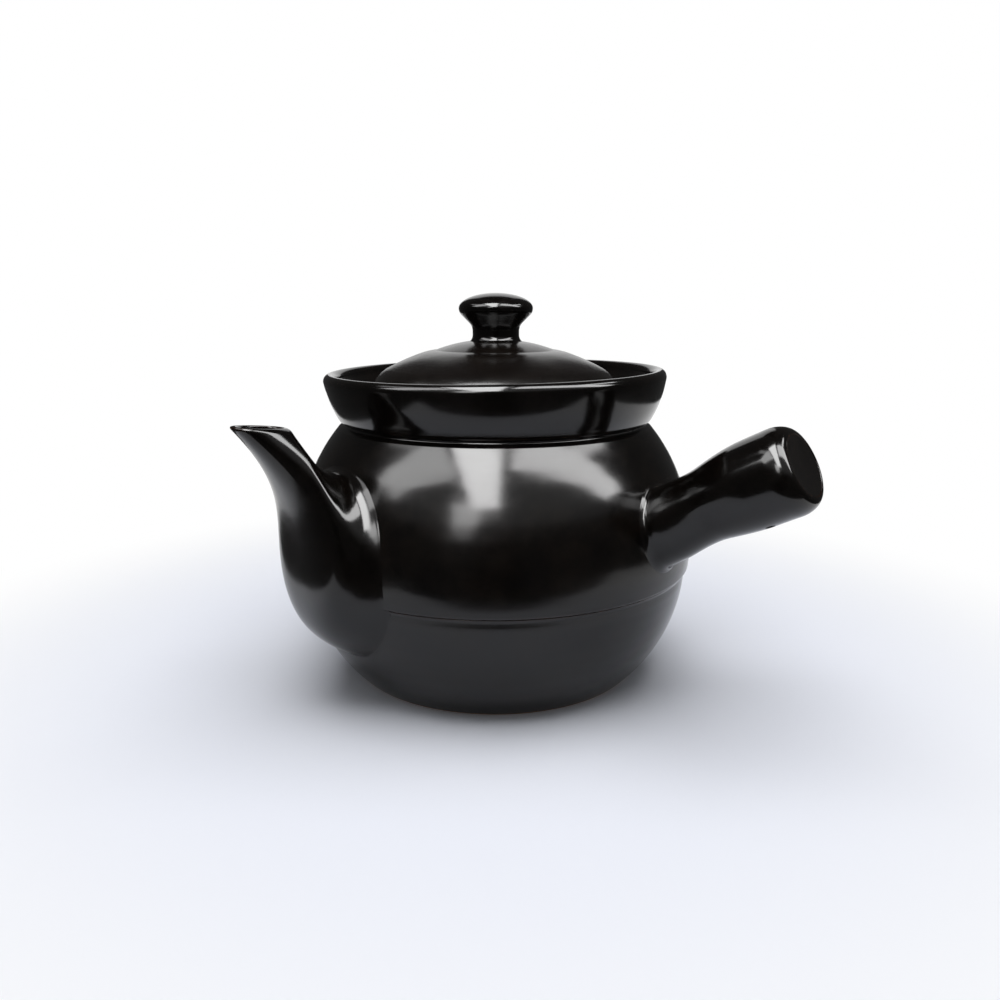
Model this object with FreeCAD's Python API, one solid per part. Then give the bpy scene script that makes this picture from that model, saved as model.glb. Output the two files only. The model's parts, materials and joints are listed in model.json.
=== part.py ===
"""Herbal medicine pot: a side-handled stoneware decoction pot with a loose lid.

Nine clay members.  Six are luted together before the firing and make the pot:
lower_bowl, upper_shell, collar, spout, handle_tube and handle_end.  Three make the
lid, which lifts off: lid_dome, lid_ring and lid_knob.

Frame: millimetres, +Z up, origin on the pot's axis in the plane it stands on.
-Y is the front.  The spout and the handle are both swung forward of the X axis.
"""
import FreeCAD
import Part
import math
import os

Vector = FreeCAD.Vector

# ---------------------------------------------------------------- driving dimensions
# body
belly_radius = 95.0             # largest radius, on the upper shell
belly_height = 63.5             # height of the largest radius
neck_height = 119.0             # where the collar stands on the upper shell
neck_inset = 20.3               # the neck is this far inside the largest radius
seam_height = 52.8              # joint between lower bowl and upper shell
seam_step = 2.2                 # the upper shell stands proud of the bowl by this
seam_round = 1.3                # rounding of the upper shell's lower edge
bowl_arc = 75.3                 # radius of the bowl's outline
bowl_arc_rise = 2.2             # its centre is this far above the seam
shell_wall = 6.0
bowl_wall = 6.5
floor_thickness = 7.0
floor_fillet = 8.0
foot_round = 3.0                # rounding between the side and the standing ring
foot_width = 9.0                # width of the standing ring
foot_recess = 1.2               # the middle of the base is raised by this
# neck and collar
groove_depth = 2.0              # groove under the collar
groove_half_height = 1.4
collar_height = 26.0            # from the neck to the rim
collar_foot_height = 4.5        # upright foot of the collar
collar_foot_round = 3.0
collar_flare = 6.2              # the rim stands out of the collar's foot by this
collar_bulge = 0.8              # the flare bows outwards by this
lip_thickness = 5.4
gutter_lean = 8.0               # the collar's inner wall leans out by this
gutter_fillet = 3.0
ledge_depth = 13.5              # the lid's ledge lies this far below the rim
ledge_thickness = 6.0
ledge_width = 11.8              # from the neck's inner wall to the throat
# lid
lid_play = 1.0                  # radial play of the lid's ring in the throat
lid_rest = 4.7                  # the lid's edge laps the ledge by this
seat_gap = 0.3                  # clearance between the lid's edge and the ledge
lid_wall = 5.0
lid_crown_arc = 108.0           # radius of the lid's crown
lid_edge_arc = 16.0             # radius of the lid's turned-down edge
lid_edge_round = 1.5
ring_width = 4.3
ring_depth = 7.0                # the ring hangs this far below the lid's edge
# knob, heights above the lid's crown
knob_foot_radius = 12.4
knob_foot_height = 1.8
knob_stem_radius = 11.0
knob_stem_top = 6.2
knob_head_radius = 17.5
knob_head_middle = 15.0
knob_head_edge = 4.2            # height of the head's rounded edge
knob_height = 22.0
# spout; the rails are its under and upper outline in its own upright plane
spout_azimuth = -142.0
spout_wall = 4.5
spout_upper_squareness = 2.2    # exponents of its sections; 2 is an ellipse
spout_lower_squareness = 2.3
spout_root_bottom = 23.4        # height of the root's lower end
spout_root_drop = 10.6          # the root's upper end is this far below the neck
spout_root_sink = 1.2           # both ends lie this far inside the body's surface
spout_root_half_width = 40.0
spout_belly_half_width = 31.0
spout_middle_half_width = 26.6
spout_neck_half_width = 19.3
spout_under_bulge = (33.7, 22.6)    # beyond the belly, above the root's lower end
spout_under_waist = (13.0, 54.6)    # inside the belly, below the mouth
spout_upper_saddle = (3.6, 10.8)    # inside the belly, below the root's upper end
spout_upper_neck = (10.0, 8.5)      # beyond the belly, above the root's upper end
mouth_drop = 18.3               # the mouth is this far below the rim
mouth_reach = 36.0              # the beak is this far beyond the belly
mouth_length = 24.9
mouth_half_width = 8.0
mouth_wall = 2.8
# strainer: holes through the upper shell behind the spout
strainer_hole_radius = 2.75
strainer_pitch = 10.0
strainer_seam_margin = 9.0
strainer_wall_margin = 5.0
# handle; reach is measured outwards from the belly
handle_azimuth = -38.0
handle_drop = 35.4              # its axis passes the belly this far below the neck
handle_slope = 0.657            # rise of its axis per unit of reach at the belly
handle_droop = 3.67             # fall of the axis below that slope, at droop_reach
droop_reach = 50.0
handle_length = 48.0            # reach of the last full section
handle_wall = 5.8
handle_waist_radius = 14.1
handle_waist_reach = 3.0
handle_swell_radius = 18.3
handle_swell_reach = 38.0
handle_flare = 2.4              # extra radius of the luted root
handle_flare_reach = 20.0
handle_root_depth = 18.0        # the blank starts this far inside the belly
end_round = 5.0                 # rounding of the closed end, across the axis
end_round_length = 8.5          # and along it
end_lip = 0.6                   # flat rim around the end disc, and around its hollow
end_disc_thickness = 5.0
end_disc_recess = 0.3           # the disc lies this far inside the rim
end_disc_dish = 0.5             # its outer face is hollowed by this
vent_radius = 2.0               # the hollow handle breathes through this in the kiln
vent_reach = 37.0
vent_turn = 14.0                # degrees from straight down, towards the front

SECTION_POINTS = 16             # per section of the spout and the handle
SPOUT_SECTIONS = 11
HANDLE_SECTIONS = 14
END_SECTIONS = 5
UP = Vector(0, 0, 1)


# ---------------------------------------------------------------- helpers
def at(radius, height):
    """Point of a turned outline."""
    return Vector(radius, 0, height)


def line(start, end):
    return Part.LineSegment(start, end).toShape()


def arc(start, middle, end):
    return Part.Arc(start, middle, end).toShape()


def arc_about(centre, radius, start_height, end_height):
    """Arc on the outer side of a centre, between two heights."""
    circle = Part.Circle(centre, Vector(0, -1, 0), radius)
    angles = []
    for height in sorted((start_height, end_height)):
        angle = math.asin(round((height - centre.z) / radius, 12))
        point = at(centre.x + radius * math.cos(angle), centre.z + radius * math.sin(angle))
        angles.append(circle.parameter(point))
    return Part.ArcOfCircle(circle, angles[0], angles[1]).toShape()


def arc_radius(centre, radius, height):
    """Distance from the axis, at a height, of the outer side of an arc."""
    return centre.x + math.sqrt(radius ** 2 - (height - centre.z) ** 2)


def bowed_arc(start, end, bulge):
    """Arc between two points whose middle stands out by bulge."""
    chord = end - start
    outwards = Vector(chord.z, 0, -chord.x).normalize()
    return arc(start, (start + end) * 0.5 + outwards * bulge, end)


def turned(edges):
    """Solid of revolution about the pot's axis from a closed outline."""
    face = Part.Face(Part.Wire(Part.sortEdges(edges)[0]))
    return face.revolve(Vector(0, 0, 0), UP, 360)


def rounded(solid, radius, corner):
    """Fillet the circular edge that passes through a corner of the outline."""
    slack = 0.01
    chosen = []
    for edge in solid.Edges:
        box = edge.BoundBox
        level = box.ZLength < slack and abs(box.ZMin - corner.z) < slack
        if level and abs(box.XMax - corner.x) < slack:
            chosen.append(edge)
    return solid.makeFillet(radius, chosen)


def radial(azimuth):
    """Unit vectors out along an azimuth and sideways from it."""
    angle = math.radians(azimuth)
    out = Vector(math.cos(angle), math.sin(angle), 0)
    return out, UP.cross(out)


def smooth_step(share):
    share = min(max(share, 0.0), 1.0)
    return share * share * (3 - 2 * share)


def bezier(controls, t):
    a, b, c, d = controls
    u = 1 - t
    return a * u ** 3 + b * (3 * u * u * t) + c * (3 * u * t * t) + d * t ** 3


def smooth_value(stations, values, t):
    """Smooth curve through values at stations that never overshoots them."""
    rises = []
    for i in range(len(stations) - 1):
        rises.append((values[i + 1] - values[i]) / (stations[i + 1] - stations[i]))
    slopes = [rises[0]]
    for before, after in zip(rises, rises[1:]):
        turns = before * after <= 0
        slopes.append(0.0 if turns else 2 * before * after / (before + after))
    slopes.append(rises[-1])
    i = 0
    while i < len(stations) - 2 and t > stations[i + 1]:
        i += 1
    span = stations[i + 1] - stations[i]
    u = (t - stations[i]) / span
    start = (values[i] * (1 + 2 * u) + slopes[i] * span * u) * (1 - u) ** 2
    end = (values[i + 1] * (3 - 2 * u) + slopes[i + 1] * span * (u - 1)) * u ** 2
    return start + end


def oval_curve(centre, half_up, half_side, upper=2.0, lower=2.0):
    """Closed smooth section; half_up and half_side are vectors to its edge.

    upper and lower are the exponents of its two halves, and 2 is an ellipse.
    """
    points = []
    for index in range(SECTION_POINTS):
        angle = 2 * math.pi * index / SECTION_POINTS
        c = math.cos(angle)
        s = math.sin(angle)
        exponent = upper if c > 0 else lower
        up = math.copysign(abs(c) ** (2 / exponent), c)
        side = math.copysign(abs(s) ** (2 / exponent), s)
        points.append(centre + half_up * up + half_side * side)
    curve = Part.BSplineCurve()
    steps = [float(index) for index in range(SECTION_POINTS + 1)]
    curve.interpolate(Points=points, PeriodicFlag=True, Parameters=steps)
    return curve


def skinned(sections):
    """Closed solid with one smooth face through the sections and flat ends."""
    poles = [section.getPoles() for section in sections]
    stations = [0.0]
    for before, after in zip(poles, poles[1:]):
        step = sum(a.distanceToPoint(b) for a, b in zip(before, after)) / len(before)
        stations.append(stations[-1] + step)
    rows = []
    for track in zip(*poles):
        path = Part.BSplineCurve()
        path.interpolate(Points=list(track), Parameters=stations)
        rows.append(path.getPoles())
    first = sections[0]
    surface = Part.BSplineSurface()
    surface.buildFromPolesMultsKnots(
        rows, first.getMultiplicities(), path.getMultiplicities(), first.getKnots(),
        path.getKnots(), True, False, first.Degree, path.Degree)
    faces = [surface.toShape()]
    for end in (sections[0], sections[-1]):
        faces.append(Part.Face(Part.Wire([end.toShape()])))
    shell = Part.Shell(faces)
    shell.sewShape()
    return Part.Solid(shell)


# ---------------------------------------------------------------- derived places
rim_height = neck_height + collar_height
neck_radius = belly_radius - neck_inset
neck_rise = neck_height - belly_height
shoulder_arc = (neck_inset ** 2 + neck_rise ** 2) / (2 * neck_inset)
shell_centre = at(belly_radius - shoulder_arc, belly_height)
bowl_centre = at(belly_radius - seam_step - bowl_arc, seam_height + bowl_arc_rise)
shell_inner_arc = shoulder_arc - shell_wall
bowl_inner_arc = bowl_arc - bowl_wall
neck_inner_radius = arc_radius(shell_centre, shell_inner_arc, neck_height)
groove_radius = neck_radius - groove_depth
ledge_height = rim_height - ledge_depth
throat_radius = neck_inner_radius - ledge_width
lid_radius = throat_radius + lid_rest
lid_bottom = ledge_height + seat_gap
lid_edge_centre = at(lid_radius - lid_edge_arc, lid_bottom)
arc_offset = lid_crown_arc - lid_edge_arc
crown_centre = at(0, lid_bottom - math.sqrt(arc_offset ** 2 - lid_edge_centre.x ** 2))
crown_height = crown_centre.z + lid_crown_arc
mouth_height = rim_height - mouth_drop
root_top = neck_height - spout_root_drop


# ---------------------------------------------------------------- pot
def make_lower_bowl():
    """Lower body and the base that it stands on."""
    foot = at(arc_radius(bowl_centre, bowl_arc, 0), 0)
    recess = at(foot.x - foot_width, 0)
    raised = at(recess.x - foot_recess, foot_recess)
    floor = at(arc_radius(bowl_centre, bowl_inner_arc, floor_thickness), floor_thickness)
    top = at(arc_radius(bowl_centre, bowl_arc, seam_height), seam_height)
    inner_top = at(arc_radius(bowl_centre, bowl_inner_arc, seam_height), seam_height)
    bowl = turned([
        line(at(0, foot_recess), raised),
        line(raised, recess),
        line(recess, foot),
        arc_about(bowl_centre, bowl_arc, 0, seam_height),
        line(top, inner_top),
        arc_about(bowl_centre, bowl_inner_arc, seam_height, floor_thickness),
        line(floor, at(0, floor_thickness)),
        line(at(0, floor_thickness), at(0, foot_recess)),
    ])
    return rounded(rounded(bowl, foot_round, foot), floor_fillet, floor)


def make_upper_shell():
    """Upper body from the seam to the neck, with the strainer behind the spout."""
    groove_bottom = neck_height - groove_half_height
    groove_edge = at(arc_radius(shell_centre, shoulder_arc, groove_bottom), groove_bottom)
    seam = at(arc_radius(shell_centre, shoulder_arc, seam_height), seam_height)
    inner_seam = at(arc_radius(shell_centre, shell_inner_arc, seam_height), seam_height)
    shell = turned([
        arc_about(shell_centre, shoulder_arc, seam_height, groove_bottom),
        line(groove_edge, at(groove_radius, neck_height)),
        line(at(groove_radius, neck_height), at(neck_inner_radius, neck_height)),
        arc_about(shell_centre, shell_inner_arc, neck_height, seam_height),
        line(inner_seam, seam),
    ])
    shell = rounded(shell, seam_round, seam)
    for hole in strainer_holes():
        shell = shell.cut(hole)
    return shell


def make_collar():
    """Flared collar, its boil-over gutter and the ledge that the lid sits on."""
    foot = at(neck_radius, neck_height + groove_half_height)
    foot_top = at(neck_radius, neck_height + collar_foot_height)
    lip_radius = lip_thickness / 2
    lip_out = at(neck_radius + collar_flare, rim_height - lip_radius)
    lip_top = at(lip_out.x - lip_radius, rim_height)
    lip_in = at(lip_out.x - lip_thickness, lip_out.z)
    gutter = at(lip_in.x - gutter_lean, ledge_height)
    throat = at(throat_radius, ledge_height)
    throat_bottom = at(throat_radius, ledge_height - ledge_thickness)
    collar = turned([
        line(at(neck_inner_radius, neck_height), at(groove_radius, neck_height)),
        line(at(groove_radius, neck_height), foot),
        line(foot, foot_top),
        bowed_arc(foot_top, lip_out, collar_bulge),
        arc(lip_out, lip_top, lip_in),
        line(lip_in, gutter),
        line(gutter, throat),
        line(throat, throat_bottom),
        line(throat_bottom, at(neck_inner_radius, neck_height)),
    ])
    return rounded(rounded(collar, collar_foot_round, foot_top), gutter_fillet, gutter)


def make_body_core():
    """The body filled solid, which cuts the spout and the handle to its surface."""
    seam_out = at(arc_radius(shell_centre, shoulder_arc, seam_height), seam_height)
    seam_in = at(arc_radius(bowl_centre, bowl_arc, seam_height), seam_height)
    foot = at(arc_radius(bowl_centre, bowl_arc, 0), 0)
    return turned([
        line(at(0, 0), foot),
        arc_about(bowl_centre, bowl_arc, 0, seam_height),
        line(seam_in, seam_out),
        arc_about(shell_centre, shoulder_arc, seam_height, neck_height),
        line(at(neck_radius, neck_height), at(0, neck_height)),
        line(at(0, neck_height), at(0, 0)),
    ])


# ---------------------------------------------------------------- spout and strainer
def spout_rails():
    """Under and upper outline of the spout in its own plane."""
    root_low = arc_radius(bowl_centre, bowl_arc, spout_root_bottom) - spout_root_sink
    root_high = arc_radius(shell_centre, shoulder_arc, root_top) - spout_root_sink
    bulge_out, bulge_up = spout_under_bulge
    waist_in, waist_down = spout_under_waist
    saddle_in, saddle_down = spout_upper_saddle
    neck_out, neck_up = spout_upper_neck
    beak = belly_radius + mouth_reach
    under = [
        at(root_low, spout_root_bottom),
        at(belly_radius + bulge_out, spout_root_bottom + bulge_up),
        at(belly_radius - waist_in, mouth_height - waist_down),
        at(beak, mouth_height),
    ]
    upper = [
        at(root_high, root_top),
        at(belly_radius - saddle_in, root_top - saddle_down),
        at(belly_radius + neck_out, root_top + neck_up),
        at(beak - mouth_length, mouth_height),
    ]
    return under, upper


def spout_section(t, hollow, shift):
    """Section at t from the root, 0, to the mouth, 1, moved by shift; below 0 is inside."""
    out, side = radial(spout_azimuth)
    under, upper = spout_rails()
    low = bezier(under, t)
    high = bezier(upper, t)
    half_widths = [spout_root_half_width, spout_belly_half_width, spout_middle_half_width,
                   spout_neck_half_width, mouth_half_width]
    half_width = smooth_value([0.0, 0.2, 0.45, 0.75, 1.0], half_widths, t)
    wall = 0.0
    if hollow:
        wall = spout_wall + (mouth_wall - spout_wall) * smooth_step(t)
    middle = (low + high) * 0.5
    half = (high - low) * 0.5
    half = half * (1 - wall / half.Length)
    centre = out * middle.x + UP * middle.z + shift
    return oval_curve(centre, out * half.x + UP * half.z, side * (half_width - wall),
                      spout_upper_squareness, spout_lower_squareness)


def spout_blank(hollow):
    """Outer form of the spout, or its channel, running on into the body."""
    into_body = 0.1
    through_mouth = 3.0
    sections = [spout_section(-into_body, hollow, Vector())]
    for index in range(SPOUT_SECTIONS):
        sections.append(spout_section(index / (SPOUT_SECTIONS - 1), hollow, Vector()))
    if hollow:
        sections.append(spout_section(1, hollow, UP * through_mouth))
    return skinned(sections)


def make_spout(body_core):
    """Poured spout, open to the strainer behind it."""
    return spout_blank(False).cut(spout_blank(True)).cut(body_core)


def strainer_holes():
    """Rows of holes, as many as fit between the seam and the spout's wall."""
    out, side = radial(spout_azimuth)
    inset = spout_wall + strainer_wall_margin
    half_height = (root_top - spout_root_bottom) / 2 - inset
    half_width = spout_root_half_width - inset
    middle = (root_top + spout_root_bottom) / 2
    row_rise = strainer_pitch * math.sqrt(3) / 2
    start = belly_radius / 2
    holes = []
    height = seam_height + strainer_seam_margin
    row = 0
    while height < middle + half_height:
        shift = strainer_pitch / 2 * (row % 2)
        count = int(half_width / strainer_pitch) + 1
        for column in range(-count, count + 1):
            offset = column * strainer_pitch + shift
            inside = (offset / half_width) ** 2 + ((height - middle) / half_height) ** 2
            if inside < 1:
                base = out * start + side * offset + UP * height
                holes.append(Part.makeCylinder(strainer_hole_radius, belly_radius, base, out))
        height += row_rise
        row += 1
    return holes


# ---------------------------------------------------------------- handle
def handle_axis(reach):
    """Point on the handle's axis and its direction there."""
    out, side = radial(handle_azimuth)
    bend = handle_droop / droop_reach ** 2
    height = neck_height - handle_drop + handle_slope * reach - bend * reach ** 2
    slope = handle_slope - 2 * bend * reach
    return out * (belly_radius + reach) + UP * height, (out + UP * slope).normalize()


def handle_radius(reach):
    swell = smooth_step((reach - handle_waist_reach) / (handle_swell_reach - handle_waist_reach))
    flare = 1 - smooth_step(reach / handle_flare_reach)
    radius = handle_waist_radius + (handle_swell_radius - handle_waist_radius) * swell
    return radius + handle_flare * flare


def handle_section(reach, radius, beyond):
    """Round section, moved along the axis by beyond."""
    out, side = radial(handle_azimuth)
    centre, along = handle_axis(reach)
    return oval_curve(centre + along * beyond, side.cross(along) * radius, side * radius)


def handle_reaches():
    span = handle_length + handle_root_depth
    for index in range(HANDLE_SECTIONS):
        yield span * index / (HANDLE_SECTIONS - 1) - handle_root_depth


def end_disc_radius():
    return handle_radius(handle_length) - end_round - end_lip


def handle_blank():
    """Outer form of the handle with its rounded end."""
    sections = [handle_section(reach, handle_radius(reach), 0) for reach in handle_reaches()]
    for index in range(1, END_SECTIONS + 1):
        turn = math.pi / 2 * index / END_SECTIONS
        radius = handle_radius(handle_length) - end_round * (1 - math.cos(turn))
        beyond = end_round_length * math.sin(turn)
        sections.append(handle_section(handle_length, radius, beyond))
    return skinned(sections)


def handle_bore():
    """Hollow of the handle, narrowing to the hole that the end disc closes."""
    sections = [handle_section(reach, handle_radius(reach) - handle_wall, 0)
                for reach in handle_reaches()]
    narrow = end_disc_radius()
    for share in (0.4, 0.7, 1.0, 1.5):
        sections.append(handle_section(handle_length, narrow, end_round_length * share))
    return skinned(sections)


def make_vent():
    centre, along = handle_axis(vent_reach)
    out, side = radial(handle_azimuth)
    turn = math.radians(vent_turn)
    down = along.cross(side)
    if down.z > 0:
        down = down * -1
    front = side if side.y < 0 else side * -1
    direction = down * math.cos(turn) + front * math.sin(turn)
    return Part.makeCylinder(vent_radius, handle_swell_radius + handle_wall, centre, direction)


def make_handle_tube(body_core):
    """Hollow handle luted to the belly, open at its outer end."""
    return handle_blank().cut(handle_bore()).cut(body_core).cut(make_vent())


def make_handle_end():
    """Dished disc that closes the handle."""
    centre, along = handle_axis(handle_length)
    outer_face = end_round_length - end_disc_recess
    start = centre + along * (outer_face - end_disc_thickness)
    slab = Part.makeCylinder(handle_swell_radius, end_disc_thickness, start, along)
    dish_reach = end_disc_radius() - end_lip
    dish_radius = (dish_reach ** 2 + end_disc_dish ** 2) / (2 * end_disc_dish)
    dish_centre = centre + along * (outer_face + dish_radius - end_disc_dish)
    return handle_bore().common(slab).cut(Part.makeSphere(dish_radius, dish_centre))


# ---------------------------------------------------------------- lid
def lid_outline(inset, bottom):
    """Crown and turned-down edge of the lid, inset by a wall, down to a height."""
    crown_arc = lid_crown_arc - inset
    edge_arc = lid_edge_arc - inset
    meet = lid_bottom + (lid_bottom - crown_centre.z) * edge_arc / arc_offset
    edge = at(lid_edge_centre.x + edge_arc, lid_bottom)
    edges = [arc_about(crown_centre, crown_arc, meet, crown_centre.z + crown_arc),
             arc_about(lid_edge_centre, edge_arc, lid_bottom, meet)]
    if bottom < lid_bottom:
        edges.append(line(edge, at(edge.x, bottom)))
    return edges


def make_lid_dome():
    """Domed lid that rests on the collar's ledge."""
    outer = at(lid_radius, lid_bottom)
    inner = at(lid_radius - lid_wall, lid_bottom)
    dome = turned(lid_outline(0, lid_bottom) + lid_outline(lid_wall, lid_bottom) + [
        line(at(0, crown_height), at(0, crown_height - lid_wall)),
        line(outer, inner),
    ])
    return rounded(dome, lid_edge_round, outer)


def make_lid_ring():
    """Ring under the lid that keeps it central in the throat."""
    bottom = lid_bottom - ring_depth
    outer = throat_radius - lid_play
    inner = outer - ring_width
    hollow = turned(lid_outline(lid_wall, bottom) + [
        line(at(0, crown_height - lid_wall), at(0, bottom)),
        line(at(0, bottom), at(lid_radius - lid_wall, bottom)),
    ])
    height = crown_height - bottom
    base = Vector(0, 0, bottom)
    blank = Part.makeCylinder(outer, height, base).cut(Part.makeCylinder(inner, height, base))
    return blank.common(hollow)


def make_lid_knob():
    """Mushroom knob on the crown."""
    foot_edge = crown_centre.z + math.sqrt(lid_crown_arc ** 2 - knob_foot_radius ** 2)
    foot = at(knob_foot_radius, foot_edge)
    foot_top = at(knob_stem_radius, crown_height + knob_foot_height)
    stem_top = at(knob_stem_radius, crown_height + knob_stem_top)
    head_low = at(knob_head_radius, crown_height + knob_head_middle)
    head_low = head_low + at(-knob_head_edge / 3, -knob_head_edge * 2 / 3)
    head_out = at(knob_head_radius, crown_height + knob_head_middle)
    head_high = head_out + at(-knob_head_edge / 3, knob_head_edge / 2)
    top = at(0, crown_height + knob_height)
    return turned([
        arc_about(crown_centre, lid_crown_arc, foot_edge, crown_height),
        bowed_arc(foot, foot_top, -0.3),
        line(foot_top, stem_top),
        bowed_arc(stem_top, head_low, -0.7),
        arc(head_low, head_out, head_high),
        bowed_arc(head_high, top, 1.6),
        line(top, at(0, crown_height)),
    ])


# ---------------------------------------------------------------- export
def main():
    os.makedirs("parts", exist_ok=True)
    body_core = make_body_core()
    members = {
        "lower_bowl": make_lower_bowl(),
        "upper_shell": make_upper_shell(),
        "collar": make_collar(),
        "spout": make_spout(body_core),
        "handle_tube": make_handle_tube(body_core),
        "handle_end": make_handle_end(),
        "lid_dome": make_lid_dome(),
        "lid_ring": make_lid_ring(),
        "lid_knob": make_lid_knob(),
    }
    for name, shape in members.items():
        shape.exportStep("parts/" + name + ".step")
        print(name, len(shape.Solids), "solid", shape.isValid(), round(shape.Volume, 1))


main()
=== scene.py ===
"""Herbal decoction pot in black iron glaze, with a beaked spout, a side handle and a loose lid.

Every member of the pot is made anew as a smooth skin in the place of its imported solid, then
glazed and lit.  Lengths are in metres, +Z is up and -Y is the front.
"""

import bpy
import json
import math
import numpy as np
from mathutils import Matrix, Vector

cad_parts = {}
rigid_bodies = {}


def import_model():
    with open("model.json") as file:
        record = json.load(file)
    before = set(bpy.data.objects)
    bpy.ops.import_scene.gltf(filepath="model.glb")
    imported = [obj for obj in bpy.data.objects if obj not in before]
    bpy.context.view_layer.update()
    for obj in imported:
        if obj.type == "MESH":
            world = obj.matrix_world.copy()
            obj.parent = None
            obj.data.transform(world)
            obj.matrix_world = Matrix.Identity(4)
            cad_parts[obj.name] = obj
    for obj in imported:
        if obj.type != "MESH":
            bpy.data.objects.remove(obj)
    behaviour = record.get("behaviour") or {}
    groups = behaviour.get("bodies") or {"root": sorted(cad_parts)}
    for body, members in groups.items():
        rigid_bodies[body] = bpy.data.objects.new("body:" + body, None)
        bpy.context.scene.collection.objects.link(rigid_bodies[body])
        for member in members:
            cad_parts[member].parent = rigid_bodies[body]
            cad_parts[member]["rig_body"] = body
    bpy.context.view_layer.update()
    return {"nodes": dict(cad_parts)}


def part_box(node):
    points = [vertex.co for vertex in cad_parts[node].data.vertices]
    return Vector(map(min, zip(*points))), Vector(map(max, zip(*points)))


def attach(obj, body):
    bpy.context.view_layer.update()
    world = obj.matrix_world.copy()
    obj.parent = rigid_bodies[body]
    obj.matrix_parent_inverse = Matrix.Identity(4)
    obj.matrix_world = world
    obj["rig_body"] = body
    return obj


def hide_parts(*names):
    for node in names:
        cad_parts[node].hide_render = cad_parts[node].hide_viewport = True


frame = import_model()

bl_info = {
    "name": "Herbal decoction pot",
    "version": (1, 0, 0),
    "blender": (4, 5, 0),
    "location": "View3D > Sidebar > Pot",
    "description": "Builds a black-glazed side-handled pot around its packed solids",
    "category": "Add Mesh",
}

MM = 0.001
UP = Vector((0, 0, 1))
SEGMENTS = 256                  # around each turned member
TRACKS = 120                    # around the spout and the handle
RUN = 2.0 * MM                  # longest step along an outline
EMBED = 0.35 * MM               # luted members run this far into what carries them
SPOUT_STATIONS = (0.0, 0.2, 0.45, 0.75, 1.0)    # where the spout's half widths are given

BOWL_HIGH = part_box("lower_bowl")[1]
SHELL_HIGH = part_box("upper_shell")[1]
COLLAR_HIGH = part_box("collar")[1]
DOME_LOW, DOME_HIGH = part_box("lid_dome")
RING_LOW, RING_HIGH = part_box("lid_ring")
KNOB_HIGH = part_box("lid_knob")[1]


# ------------------------------------------------------------------ sizes
def length(name, description, default):
    return bpy.props.FloatProperty(
        name=name, description=description, default=default, unit="LENGTH", precision=4)


def number(name, description, default):
    return bpy.props.FloatProperty(name=name, description=description, default=default, precision=3)


def turn(name, description, degrees):
    return bpy.props.FloatProperty(
        name=name, description=description, default=math.radians(degrees), unit="ROTATION")


def tint(name, description, code):
    return bpy.props.FloatVectorProperty(
        name=name, description=description, default=linear(code), subtype="COLOR", min=0, max=1)


def linear(code):
    """Linear red, green and blue of an sRGB hex value."""
    levels = [int(code[i:i + 2], 16) / 255 for i in (1, 3, 5)]
    return tuple(v / 12.92 if v <= 0.04045 else ((v + 0.055) / 1.055) ** 2.4 for v in levels)


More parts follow.
